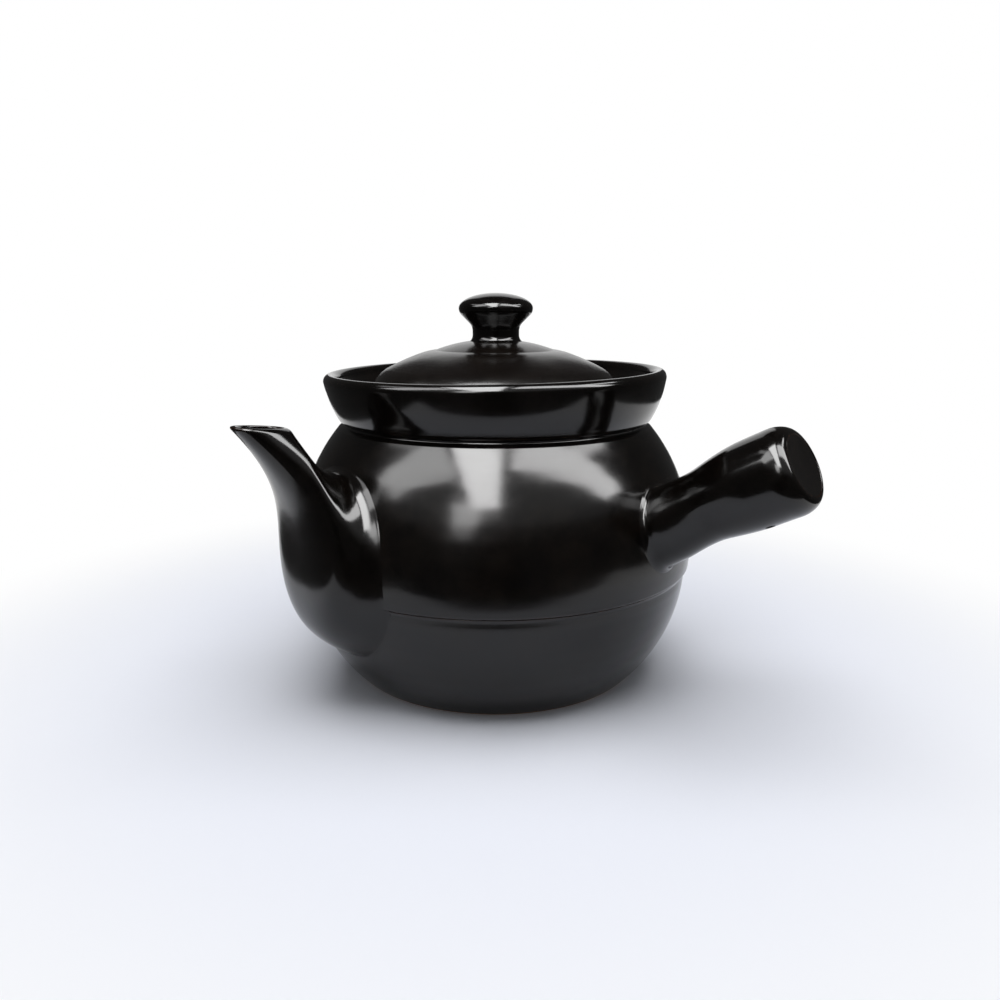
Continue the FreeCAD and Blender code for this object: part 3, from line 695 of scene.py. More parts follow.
def finish_member(node, mesh, bare=None, crease=40):
    """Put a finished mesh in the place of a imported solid."""
    mesh.name = node + "_skin"
    mesh.validate()
    for polygon in mesh.polygons:
        polygon.use_smooth = True
    mesh.set_sharp_from_angle(angle=math.radians(crease))
    store_wear(mesh, bare)
    piece = bpy.data.objects.new(node + "_skin", mesh)
    bpy.context.scene.collection.objects.link(piece)
    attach(piece, frame["nodes"][node]["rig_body"])
    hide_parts(node)
    return piece


# ------------------------------------------------------------------ finishes
def glaze(name, black, umber, brown, clay, roughness, look):
    """Black iron glaze, poured thick over stoneware and fired to a gloss.

    The eye sees near-black with a slight olive warmth, soft reflections that waver with the
    thickness of the coat, and brown where the coat is thin over an edge.
    """
    material = bpy.data.materials.get(name)
    if material:
        return material
    material, tree = empty_material(name)
    place = add(tree, "ShaderNodeTexCoord").outputs["Object"]
    slow = add(tree, "ShaderNodeTexNoise", {
        "Vector": place, "Scale": 1 / look.waver_size, "Detail": 1.0, "Roughness": 0.4})
    patches = add(tree, "ShaderNodeTexNoise", {
        "Vector": place, "Scale": 1 / (14 * MM), "Detail": 5.0, "Roughness": 0.65})
    fine = add(tree, "ShaderNodeTexNoise", {
        "Vector": place, "Scale": 1 / look.peel_size, "Detail": 2.0})
    thin = add(tree, "ShaderNodeAttribute", attribute_name="thin").outputs["Fac"]
    bare = add(tree, "ShaderNodeAttribute", attribute_name="bare").outputs["Fac"]

    warm = add(tree, "ShaderNodeMapRange", {
        "Value": patches.outputs["Fac"], "From Min": 0.42, "From Max": 0.68})
    coat = add(tree, "ShaderNodeMix", {
        "Factor": warm.outputs[0], 6: (*black, 1), 7: (*umber, 1)}, data_type="RGBA")
    broken = add(tree, "ShaderNodeMath", {
        0: patches.outputs["Fac"], 1: 0.9, 2: -0.45}, operation="MULTIPLY_ADD")
    edge = add(tree, "ShaderNodeMath", {0: thin, 1: broken.outputs[0]}, operation="ADD")
    edge = add(tree, "ShaderNodeMapRange", {
        "Value": edge.outputs[0], "From Min": 0.35, "From Max": 1.15,
        "To Max": 0.35}, interpolation_type="SMOOTHSTEP")
    edged = add(tree, "ShaderNodeMix", {
        "Factor": edge.outputs[0], 6: coat.outputs[2], 7: (*brown, 1)}, data_type="RGBA")
    ragged = add(tree, "ShaderNodeMath", {
        0: patches.outputs["Fac"], 1: 0.5, 2: -0.25}, operation="MULTIPLY_ADD")
    unglazed = add(tree, "ShaderNodeMath", {0: bare, 1: ragged.outputs[0]}, operation="ADD")
    unglazed = add(tree, "ShaderNodeMapRange", {
        "Value": unglazed.outputs[0], "From Min": 0.45, "From Max": 0.55})
    colour = add(tree, "ShaderNodeMix", {
        "Factor": unglazed.outputs[0], 6: edged.outputs[2], 7: (*clay, 1)}, data_type="RGBA")

    gloss = add(tree, "ShaderNodeMapRange", {
        "Value": patches.outputs["Fac"], "From Min": 0.3, "From Max": 0.7,
        "To Min": roughness - 0.03, "To Max": roughness + 0.04})
    rough = add(tree, "ShaderNodeMix", {
        "Factor": unglazed.outputs[0], 2: gloss.outputs[0], 3: 0.85}, data_type="FLOAT")
    waves = add(tree, "ShaderNodeBump", {
        "Height": slow.outputs["Fac"], "Strength": 1.0, "Distance": look.waver})
    peel = add(tree, "ShaderNodeBump", {
        "Height": fine.outputs["Fac"], "Strength": 1.0, "Distance": look.peel,
        "Normal": waves.outputs[0]})
    shader = add(tree, "ShaderNodeBsdfPrincipled", {
        "Base Color": colour.outputs[2], "Roughness": rough.outputs[0], "IOR": 1.45,
        "Normal": peel.outputs[0]})
    add(tree, "ShaderNodeOutputMaterial", {"Surface": shader.outputs[0]})
    return material


def pot_glaze():
    look = bpy.context.scene.pot_glaze
    return glaze("Black iron glaze", look.black, look.umber, look.brown, look.clay,
                 look.roughness, look)


def bright_glaze():
    look = bpy.context.scene.pot_glaze
    return glaze("Bright black iron glaze", look.black, look.lid, look.brown, look.clay,
                 look.bright_roughness, look)


def disc_glaze():
    look = bpy.context.scene.pot_glaze
    return glaze("Thin iron glaze", look.disc, look.umber, look.brown, look.clay,
                 look.lid_roughness, look)


def lid_glaze():
    look = bpy.context.scene.pot_glaze
    return glaze("Brown-black iron glaze", look.lid, look.umber, look.brown, look.clay,
                 look.lid_roughness, look)


def bare_stoneware():
    """Bare stoneware, wiped clean of glaze where members would fuse in the firing.

    The eye sees a matt buff brown with dark iron specks and the drag lines of turning.
    """
    name = "Bare stoneware"
    material = bpy.data.materials.get(name)
    if material:
        return material
    look = bpy.context.scene.pot_glaze
    material, tree = empty_material(name)
    place = add(tree, "ShaderNodeTexCoord").outputs["Object"]
    grog = add(tree, "ShaderNodeTexVoronoi", {"Vector": place, "Scale": 1 / (2.2 * MM)})
    specks = add(tree, "ShaderNodeMapRange", {
        "Value": grog.outputs["Distance"], "From Min": 0.1, "From Max": 0.22,
        "To Min": 1.0, "To Max": 0.0})
    tone = add(tree, "ShaderNodeTexNoise", {
        "Vector": place, "Scale": 1 / (9 * MM), "Detail": 6.0, "Roughness": 0.7})
    light = add(tree, "ShaderNodeMapRange", {
        "Value": tone.outputs["Fac"], "From Min": 0.3, "From Max": 0.7, "To Max": 0.45})
    body = add(tree, "ShaderNodeMix", {
        "Factor": light.outputs[0], 6: (*look.clay, 1), 7: (*look.speck, 1)}, data_type="RGBA")
    faint = add(tree, "ShaderNodeMath", {0: specks.outputs[0], 1: 0.6}, operation="MULTIPLY")
    colour = add(tree, "ShaderNodeMix", {
        "Factor": faint.outputs[0], 6: body.outputs[2], 7: (*look.speck, 1)}, data_type="RGBA")
    drag = add(tree, "ShaderNodeTexWave", {
        "Vector": place, "Scale": 1 / (9 * MM), "Distortion": 1.5, "Detail": 2.0},
        bands_direction="Z")
    lines = add(tree, "ShaderNodeBump", {
        "Height": drag.outputs["Fac"], "Strength": 1.0, "Distance": 0.05 * MM})
    grit = add(tree, "ShaderNodeTexNoise", {"Vector": place, "Scale": 1 / (0.8 * MM)})
    grain = add(tree, "ShaderNodeBump", {
        "Height": grit.outputs["Fac"], "Strength": 1.0, "Distance": 0.08 * MM,
        "Normal": lines.outputs[0]})
    shader = add(tree, "ShaderNodeBsdfPrincipled", {
        "Base Color": colour.outputs[2], "Roughness": 0.9, "IOR": 1.5,
        "Normal": grain.outputs[0]})
    add(tree, "ShaderNodeOutputMaterial", {"Surface": shader.outputs[0]})
    return material


# ------------------------------------------------------------------ members of the pot
class POT_OT_lower_bowl(bpy.types.Operator):
    """Turn the bowl with its base and standing ring"""
    bl_idname = "pot.lower_bowl"
    bl_label = "Lower bowl"

    def execute(self, context):
        body = context.scene.pot_body
        centre, radius = bowl_arc()
        inner = radius - body.bowl_wall
        foot = reach_of(centre, radius, 0)
        recess = foot - body.foot_width
        floor = body.floor_thickness
        cove = body.seam_cove
        upright = body.seam_height - body.seam_hollow
        wall = reach_of(centre, radius, upright)
        outline = [
            (0, body.foot_recess),
            (recess - body.foot_recess, body.foot_recess, body.glaze_round),
            (recess, 0, body.glaze_round / 2),
            (foot, 0, body.foot_round),
            *arc_between(centre, radius, 0, upright)[1:],
            (wall, body.seam_height - cove, cove),
            (wall + cove / 2, body.seam_height, body.glaze_round / 4),
            (reach_of(centre, inner, body.seam_height), body.seam_height),
            *arc_between(centre, inner, body.seam_height, floor)[1:-1],
            (reach_of(centre, inner, floor), floor, body.floor_round),
            (0, floor),
        ]
        mesh = turned("lower_bowl", outline, pot_glaze())

        def bare(x, y, z):
            return min(max(0.5 + (0.9 * MM - z) / MM, 0.0), 1.0)

        finish_member("lower_bowl", mesh, bare)
        return {"FINISHED"}


class POT_OT_upper_shell(bpy.types.Operator):
    """Turn the shoulder and drill the strainer behind the spout"""
    bl_idname = "pot.upper_shell"
    bl_label = "Upper shell"

    def execute(self, context):
        body = context.scene.pot_body
        spout = context.scene.pot_spout
        centre, radius = shell_arc()
        inner = radius - body.shell_wall
        neck = body.neck_height
        inner_neck = reach_of(centre, inner, neck)
        middle = (body.belly_radius - body.neck_inset + inner_neck) / 2
        outline = [
            (middle, neck),
            (inner_neck, neck),
            *arc_between(centre, inner, neck, body.seam_height)[1:],
            (reach_of(centre, radius, body.seam_height), body.seam_height, body.seam_round),
            *arc_between(centre, radius, body.seam_height, neck)[1:],
            (middle, neck),
        ]
        glazed = pot_glaze()
        mesh = turned("upper_shell", outline, glazed)
        out = Matrix.Rotation(spout.azimuth, 3, "Z") @ Vector((1, 0, 0))
        side = UP.cross(out)
        root_top = neck - spout.root_drop
        inset = spout.wall + spout.wall_margin
        half_width = spout.strainer_half
        rise = spout.hole_pitch * math.sqrt(3) / 2
        field = body.seam_height + spout.seam_margin + rise * (spout.hole_rows - 1) / 2
        middle = (root_top + spout.root_bottom) / 2
        mesh = drilled("upper_shell", mesh, side, UP, out * body.belly_radius + UP * field, {
            "Rows": spout.hole_rows, "Columns": 2 * (int(half_width / spout.hole_pitch) + 1) + 1,
            "Pitch": spout.hole_pitch, "Hole Radius": spout.hole_radius,
            "Depth": body.belly_radius, "Half Width": half_width,
            "Half Height": (root_top - spout.root_bottom) / 2 - inset,
            "Field Rise": middle - field, "Material": glazed})
        finish_member("upper_shell", mesh)
        return {"FINISHED"}


class POT_OT_collar(bpy.types.Operator):
    """Turn the flared collar with its gutter and the lid's ledge"""
    bl_idname = "pot.collar"
    bl_label = "Collar"

    def execute(self, context):
        body = context.scene.pot_body
        centre, radius = shell_arc()
        neck = body.neck_height
        neck_radius = body.belly_radius - body.neck_inset
        inner_neck = reach_of(centre, radius - body.shell_wall, neck)
        middle = (neck_radius + inner_neck) / 2
        groove = (neck_radius - body.groove_depth, neck + body.groove_rise)
        foot_low = (neck_radius - body.foot_inset, neck + body.foot_rise)
        foot_top = (neck_radius, neck + body.collar_foot)
        across, up = body.lip_half_width, body.lip_half_height
        lip_centre = (COLLAR_HIGH.x - across, body.rim_height - up)
        lip_out = (COLLAR_HIGH.x, lip_centre[1])
        ledge = body.rim_height - body.ledge_depth
        gutter = COLLAR_HIGH.x - body.wall_top - body.gutter_lean
        throat = inner_neck - body.ledge_width
        below = ledge - body.ledge_thickness
        outline = [
            (middle, neck),
            (neck_radius, neck),
            (*groove, body.glaze_round),
            (*foot_low, body.glaze_round),
            (*foot_top, body.collar_foot_round),
            *bowed(foot_top, lip_out, body.collar_bulge)[1:-1],
            *oval(lip_centre, across, up, 0, math.pi),
            (gutter, ledge, body.gutter_round),
            (throat, ledge, body.glaze_round),
            (throat, below, body.glaze_round),
            (inner_neck, neck),
            (middle, neck),
        ]
        mesh = turned("collar", outline, bright_glaze(), lean=body.rim_lean,
                      lean_from=ledge + 2 * MM, lean_to=body.rim_height)
        seat = context.scene.pot_lid.radius

        def bare(x, y, z):
            level = 1 - abs(z - ledge) / (0.4 * MM)
            band = (seat + 1.0 * MM - math.hypot(x, y)) / MM
            return min(max(min(level, 0.5 + band), 0.0), 1.0)

        finish_member("collar", mesh, bare)
        return {"FINISHED"}


class SpoutForm:
    """Points of the spout's outer form and of its channel."""

    def __init__(self, context):
        body, spout = context.scene.pot_body, context.scene.pot_spout
        self.sizes = spout
        self.out = Matrix.Rotation(spout.azimuth, 3, "Z") @ Vector((1, 0, 0))
        self.side = self.out.cross(UP)
        self.mouth = body.rim_height - spout.mouth_drop
        belly = body.belly_radius
        self.tip = Vector((belly + spout.mouth_reach, self.mouth))
        self.mouth_fall = spout.mouth_tilt / spout.mouth_length
        root_top = body.neck_height - spout.root_drop
        low = reach_of(*bowl_arc(), spout.root_bottom) - spout.root_sink
        high = reach_of(*shell_arc(), root_top) - spout.root_sink
        self.under = [
            Vector((low, spout.root_bottom)),
            Vector((belly + spout.bulge_out, spout.root_bottom + spout.bulge_up)),
            Vector((belly - spout.waist_in, self.mouth - spout.waist_down)),
            self.tip,
        ]
        self.upper = [
            Vector((high, root_top)),
            Vector((belly - spout.saddle_in, root_top - spout.saddle_down)),
            Vector((belly + spout.neck_out, root_top + spout.neck_up)),
            self.tip - Vector((spout.mouth_length, spout.mouth_tilt)),
        ]
        self.half_widths = (spout.root_half, spout.belly_half, spout.middle_half,
                            spout.neck_half, spout.mouth_half)

    def centre(self, t):
        middle = (bezier(self.under, t) + bezier(self.upper, t)) / 2
        return self.out * middle.x + UP * middle.y

    def point(self, t, angle, hollow):
        spout = self.sizes
        low, high = bezier(self.under, t), bezier(self.upper, t)
        half = (high - low) / 2
        half_width = smooth_value(SPOUT_STATIONS, self.half_widths, t)
        if hollow:
            share = smooth_step(t)
            half *= 1 - (spout.wall + (spout.beak_wall - spout.wall) * share) / half.length
            half_width -= spout.wall + (spout.mouth_wall - spout.wall) * share
        c, s = math.cos(angle), math.sin(angle)
        power = 2 / (spout.upper_squareness if c > 0 else spout.lower_squareness)
        up = math.copysign(abs(c) ** power, c)
        across = math.copysign(abs(s) ** power, s)
        return (self.centre(t) + (self.out * half.x + UP * half.y) * up
                + self.side * half_width * across)

    def below_mouth(self, point):
        """How far a point lies under the tilted plane of the mouth."""
        back = self.tip.x - point.dot(self.out)
        return self.mouth - self.mouth_fall * back - point.z


def bezier(controls, t):
    a, b, c, d = controls
    u = 1 - t
    return a * u ** 3 + b * (3 * u * u * t) + c * (3 * u * t * t) + d * t ** 3


def smooth_value(stations, values, t):
    """Smooth curve through values at stations that never overshoots them."""
    rises = []
    for i in range(len(stations) - 1):
        rises.append((values[i + 1] - values[i]) / (stations[i + 1] - stations[i]))
    slopes = [rises[0]]
    for before, after in zip(rises, rises[1:]):
        slopes.append(0.0 if before * after <= 0 else 2 * before * after / (before + after))
    slopes.append(rises[-1])
    i = 0
    while i < len(stations) - 2 and t > stations[i + 1]:
        i += 1
    span = stations[i + 1] - stations[i]
    u = (t - stations[i]) / span
    start = (values[i] * (1 + 2 * u) + slopes[i] * span * u) * (1 - u) ** 2
    end = (values[i + 1] * (3 - 2 * u) + slopes[i + 1] * span * (u - 1)) * u ** 2
    return start + end


def even_angles():
    """Evenly spaced angles about a section."""
    return [math.tau * index / TRACKS for index in range(TRACKS)]


class POT_OT_spout(bpy.types.Operator):
    """Form the beaked spout with its channel, luted over the strainer"""
    bl_idname = "pot.spout"
    bl_label = "Spout"

    def execute(self, context):
        spout = context.scene.pot_spout
        form = SpoutForm(context)
        surface = BodySurface()
        tracks = [self.track(form, surface, spout, angle) for angle in even_angles()]
        rings = [list(ring) for ring in zip(*tracks)]
        mesh = lofted("spout", rings, bright_glaze())
        finish_member("spout", mesh)
        return {"FINISHED"}

    def track(self, form, surface, spout, angle):
        """Points along one line: up the outside, over the lip and down the channel."""
        before_root = -0.1
        root_steps, steps, lip_steps = 14, 110, 14
        just_below = 0.01
        least_rise = 0.4                # keeps the lip low where the wall runs nearly level
        curve_share = 0.75              # a curve reaches this share of its handles' height

        def height(t, hollow):
            return surface.measure(form.point(t, angle, hollow))[0]

        def level(t, hollow):
            return -form.below_mouth(form.point(t, angle, hollow))

        def lip_handle(t, hollow):
            """End of the wall and the handle that rounds the lip up to the mouth's plane."""
            point = form.point(t, angle, hollow)
            along = (point - form.point(t - just_below, angle, hollow)).normalized()
            rise = max(along.z + form.mouth_fall * -along.dot(form.out), least_rise)
            return point, point + along * (spout.lip_drop / (curve_share * rise))

        start = crossing(lambda t: height(t, False), before_root, 1, -EMBED)
        free = crossing(lambda t: height(t, False), start, 1, spout.root_fillet)
        run = (form.point(free, angle, False) - form.point(start, angle, False)).length
        climb = min((spout.root_fillet + EMBED) / run, 1.0)
        end = crossing(lambda t: level(t, False), 0.5, 1.02, -spout.lip_drop)
        stations = [start + (free - start) * (k / root_steps) ** 1.6 for k in range(root_steps)]
        stations += [free + (end - free) * k / steps for k in range(steps + 1)]
        points = []
        for t in stations:
            point = form.point(t, angle, False)
            points.append(filleted(surface, point, form.centre(t), spout.root_fillet, climb))
        inner_end = crossing(lambda t: level(t, True), 0.5, 1.02, -spout.lip_drop)
        inner_start = crossing(lambda t: height(t, True), before_root, 1, -EMBED)
        outer, outer_handle = lip_handle(end, False)
        inner, inner_handle = lip_handle(inner_end, True)
        corners = [outer, outer_handle, inner_handle, inner]
        points += [bezier(corners, k / lip_steps) for k in range(1, lip_steps)]
        for k in range(steps // 2 + 1):
            t = inner_end + (inner_start - inner_end) * k / (steps // 2)
            points.append(form.point(t, angle, True))
        return points


class HandleForm:
    """Points of the handle's skin and of its hollow."""

    def __init__(self, context):
        body, self.sizes = context.scene.pot_body, context.scene.pot_handle
        self.belly, self.neck = body.belly_radius, body.neck_height
        self.out = Matrix.Rotation(self.sizes.azimuth, 3, "Z") @ Vector((1, 0, 0))
        self.side = UP.cross(self.out)

    def axis(self, reach):
        handle = self.sizes
        bend = handle.droop / handle.droop_reach ** 2
        height = self.neck - handle.drop + handle.slope * reach - bend * reach ** 2
        slope = handle.slope - 2 * bend * reach
        centre = self.out * (self.belly + reach) + UP * height
        return centre, (self.out + UP * slope).normalized()

    def radius(self, reach):
        handle = self.sizes
        span = handle.swell_reach - handle.waist_reach
        swell = smooth_step((reach - handle.waist_reach) / span)
        flare = 1 - smooth_step(reach / handle.flare_reach)
        radius = handle.waist_radius + (handle.swell_radius - handle.waist_radius) * swell
        return radius + handle.flare * flare

    def point(self, reach, angle, radius, beyond=0.0):
        centre, along = self.axis(reach)
        across = self.side.cross(along) * math.cos(angle) + self.side * math.sin(angle)
        return centre + along * beyond + across * radius

    def disc_radius(self):
        handle = self.sizes
        return self.radius(handle.length) - handle.end_round - handle.end_lip


class POT_OT_handle_tube(bpy.types.Operator):
    """Form the hollow handle, luted to the belly, with its vent"""
    bl_idname = "pot.handle_tube"
    bl_label = "Handle tube"

    def execute(self, context):
        handle = context.scene.pot_handle
        form = HandleForm(context)
        surface = BodySurface()
        tracks = [self.track(form, surface, handle, angle) for angle in even_angles()]
        rings = [list(ring) for ring in zip(*tracks)]
        glazed = bright_glaze()
        mesh = lofted("handle_tube", rings, glazed)
        centre, along = form.axis(handle.vent_reach)
        down = along.cross(form.side)
        if down.z > 0:
            down.negate()
        front = form.side if form.side.y < 0 else -form.side
        aim = down * math.cos(handle.vent_turn) + front * math.sin(handle.vent_turn)
        depth = handle.swell_radius + handle.wall
        mesh = drilled("handle_tube", mesh, along, aim.cross(along), centre + aim * depth / 2, {
            "Rows": 1, "Columns": 1, "Pitch": handle.vent_radius,
            "Hole Radius": handle.vent_radius, "Depth": depth, "Half Width": depth,
            "Half Height": depth, "Field Rise": 0.0, "Material": glazed})
        finish_member("handle_tube", mesh)
        return {"FINISHED"}

    def track(self, form, surface, handle, angle):
        """Points along one line: out along the skin, round the end and back inside."""
        root_steps, steps, end_steps = 14, 60, 14

        def height(reach):
            return surface.measure(form.point(reach, angle, form.radius(reach)))[0]

        start = crossing(height, -handle.root_depth, handle.length, -EMBED)
        free = crossing(height, start, handle.length, handle.root_fillet)
        run = (form.point(free, angle, form.radius(free))
               - form.point(start, angle, form.radius(start))).length
        climb = min((handle.root_fillet + EMBED) / run, 1.0)
        stations = [start + (free - start) * (k / root_steps) ** 1.6 for k in range(root_steps)]
        stations += [free + (handle.length - free) * k / steps for k in range(steps)]
        points = []
        for reach in stations:
            point = form.point(reach, angle, form.radius(reach))
            points.append(filleted(surface, point, form.axis(reach)[0], handle.root_fillet, climb))
        full = form.radius(handle.length)
        for k in range(end_steps + 1):
            quarter = math.pi / 2 * k / end_steps
            radius = full - handle.end_round * (1 - math.cos(quarter))
            beyond = handle.end_round_length * math.sin(quarter)
            points.append(form.point(handle.length, angle, radius, beyond))
        narrow, edge, tip = form.disc_radius(), handle.end_lip / 2, handle.end_round_length
        for radius, beyond in ((narrow + edge, tip), (narrow + edge / 3, tip - edge / 3),
                               (narrow, tip - edge), (narrow, tip * 0.7), (narrow, tip * 0.4)):
            points.append(form.point(handle.length, angle, radius, beyond))
        inner_start = crossing(lambda reach: surface.measure(form.point(
            reach, angle, form.radius(reach) - handle.wall))[0], -handle.root_depth,
            handle.length, -EMBED)
        for k in range(steps // 2 + 1):
            reach = handle.length + (inner_start - handle.length) * k / (steps // 2)
            points.append(form.point(reach, angle, form.radius(reach) - handle.wall))
        return points


class POT_OT_handle_end(bpy.types.Operator):
    """Form the dished disc that closes the handle"""
    bl_idname = "pot.handle_end"
    bl_label = "Handle end"

    def execute(self, context):
        handle = context.scene.pot_handle
        body = context.scene.pot_body
        form = HandleForm(context)
        radius = form.disc_radius()
        thickness, dish = handle.disc_thickness, handle.disc_dish
        dish_arc = (radius ** 2 + dish ** 2) / (2 * dish)
        half = math.asin(radius / dish_arc)
        hollow = arc((0, dish_arc - dish), dish_arc, half - math.pi / 2, -math.pi / 2)
        outline = [(0, -thickness), (radius, -thickness), (radius, 0, body.glaze_round / 3),
                   *hollow[1:]]
        mesh = turned("handle_end", outline, disc_glaze(), wavers=False)
        centre, along = form.axis(handle.length)
        face = centre + along * (handle.end_round_length - handle.disc_recess)
        mesh.transform(Matrix.Translation(face) @ along.to_track_quat("Z", "Y").to_matrix().to_4x4())
        finish_member("handle_end", mesh)
        return {"FINISHED"}


# ------------------------------------------------------------------ members of the lid
def lid_arcs(context, inset):
    """Crown arc and edge arc of the lid, inset by a wall, with the height where they meet."""
    lid = context.scene.pot_lid
    edge_centre = (lid.radius - lid.edge_arc, lid.bottom)
    apart = lid.crown_arc - lid.edge_arc
    crown_centre = (0, lid.bottom - math.sqrt(apart ** 2 - edge_centre[0] ** 2))
    meet = lid.bottom + (lid.bottom - crown_centre[1]) * (lid.edge_arc - inset) / apart
    return crown_centre, lid.crown_arc - inset, edge_centre, lid.edge_arc - inset, meet


def crown_height(context, inset=0.0):
    crown_centre, crown_arc = lid_arcs(context, inset)[:2]
    return crown_centre[1] + crown_arc


class POT_OT_lid_dome(bpy.types.Operator):
    """Turn the domed lid"""
    bl_idname = "pot.lid_dome"
    bl_label = "Lid dome"

    def execute(self, context):
        lid = context.scene.pot_lid
        crown_centre, crown_arc, edge_centre, edge_arc, meet = lid_arcs(context, lid.wall)
        outline = [
            *arc_between(crown_centre, crown_arc, crown_centre[1] + crown_arc, meet),
            *arc_between(edge_centre, edge_arc, meet, lid.bottom)[1:],
            (lid.radius, lid.bottom, lid.edge_round),
        ]
        crown_centre, crown_arc, edge_centre, edge_arc, meet = lid_arcs(context, 0.0)
        crown = crown_centre[1] + crown_arc
        drop = crown_arc - math.sqrt(crown_arc ** 2 - lid.skirt_radius ** 2)
        skirt = (lid.skirt_radius, crown - drop)
        crease = (lid.boss_radius, crown - lid.boss_drop)
        knob_foot = (lid.knob_foot_radius, crown - lid.knob_foot_drop)
        outline += [
            *arc_between(edge_centre, edge_arc, lid.bottom, meet)[1:],
            *arc_between(crown_centre, crown_arc, meet, skirt[1])[1:],
            *bowed(skirt, crease, lid.skirt_bulge)[1:-1],
            (*crease, lid.crease_round),
            *bowed(crease, knob_foot, lid.boss_bulge)[1:],
            (0, crown),
        ]
        mesh = turned("lid_dome", outline, lid_glaze())

        def bare(x, y, z):
            return min(max(0.5 + (lid.bottom + 0.9 * MM - z) / MM, 0.0), 1.0)

        finish_member("lid_dome", mesh, bare)
        return {"FINISHED"}


class POT_OT_lid_ring(bpy.types.Operator):
    """Turn the bare ring that keeps the lid central"""
    bl_idname = "pot.lid_ring"
    bl_label = "Lid ring"

    def execute(self, context):
        lid = context.scene.pot_lid
        rounding = context.scene.pot_body.glaze_round
        crown_centre, crown_arc = lid_arcs(context, lid.wall)[:2]
        outer, inner = lid.ring_radius, lid.ring_radius - lid.ring_width
        tops = []
        for radius in (outer, inner):
            tops.append(crown_centre[1] + math.sqrt(crown_arc ** 2 - radius ** 2) + EMBED)
        outline = [
            ((outer + inner) / 2, lid.ring_bottom),
            (outer, lid.ring_bottom, rounding),
            (outer, min(tops[0], RING_HIGH.z)),
            (inner, tops[1]),
            (inner, lid.ring_bottom, rounding),
            ((outer + inner) / 2, lid.ring_bottom),
        ]
        mesh = turned("lid_ring", outline, bare_stoneware())
        finish_member("lid_ring", mesh)
        return {"FINISHED"}


class POT_OT_lid_knob(bpy.types.Operator):
    """Turn the mushroom knob"""
    bl_idname = "pot.lid_knob"
    bl_label = "Lid knob"

    def execute(self, context):
        lid = context.scene.pot_lid
        crown = crown_height(context)
        foot = (lid.knob_foot_radius, crown - lid.knob_foot_drop)
        waist = (lid.knob_stem_radius, crown + lid.knob_foot_height)
        middle = lid.knob_top - lid.knob_middle
        edge_centre = (lid.knob_radius - lid.knob_edge, middle)
        edge = oval(edge_centre, lid.knob_edge, lid.knob_edge_height, -math.pi / 4, 0)
        stem_top = edge[0][1] - (edge[0][0] - lid.knob_stem_radius)
        outline = [
            (0, crown - EMBED),
            (foot[0] - EMBED, foot[1] - EMBED),
            *bowed(foot, waist, -0.35 * MM),
            (lid.knob_stem_radius, stem_top, lid.knob_stem_round),
            *edge,
            *oval((0, middle), lid.knob_radius, lid.knob_middle, 0, math.pi / 2, 60)[1:-1],
            (0, lid.knob_top),
        ]
        mesh = turned("lid_knob", outline, bright_glaze())
        mesh.transform(Matrix.Translation((lid.knob_shift, 0, 0)))
        finish_member("lid_knob", mesh)
        return {"FINISHED"}


# ------------------------------------------------------------------ stage
def stage_piece(name, points, faces, material, seen):
    """Flat or domed piece of studio; a hidden one shows only in reflections."""
    mesh = bpy.data.meshes.new(name)
    mesh.from_pydata(points, [], faces)
    mesh.materials.append(material)
    piece = bpy.data.objects.new(name, mesh)
    bpy.context.scene.collection.objects.link(piece)
    if not seen:
        piece.visible_camera = False
        piece.visible_diffuse = False
        piece.visible_transmission = False
        piece.visible_volume_scatter = False
        piece.visible_shadow = False
    return piece


def card_material(studio):
    """Matt white card: an even diffuse white that runs into the white background far out."""
    material, tree = empty_material("Matt white card")
    place = add(tree, "ShaderNodeTexCoord").outputs["Object"]
    far = add(tree, "ShaderNodeVectorMath", {0: place}, operation="LENGTH")
    fade = add(tree, "ShaderNodeMapRange", {
        "Value": far.outputs["Value"], "From Min": studio.fade_start,
        "From Max": studio.fade_end}, interpolation_type="SMOOTHSTEP")
    share = add(tree, "ShaderNodeMath", {0: fade.outputs[0], 1: seen_share(tree)},
                operation="MULTIPLY")
    matt = add(tree, "ShaderNodeBsdfDiffuse", {"Color": (*studio.card, 1)})
    white = add(tree, "ShaderNodeEmission", {"Color": (1, 1, 1, 1), "Strength": 1.0})
    mixed = add(tree, "ShaderNodeMixShader", {
        0: share.outputs[0], 1: matt.outputs[0], 2: white.outputs[0]})
    add(tree, "ShaderNodeOutputMaterial", {"Surface": mixed.outputs[0]})
    return material


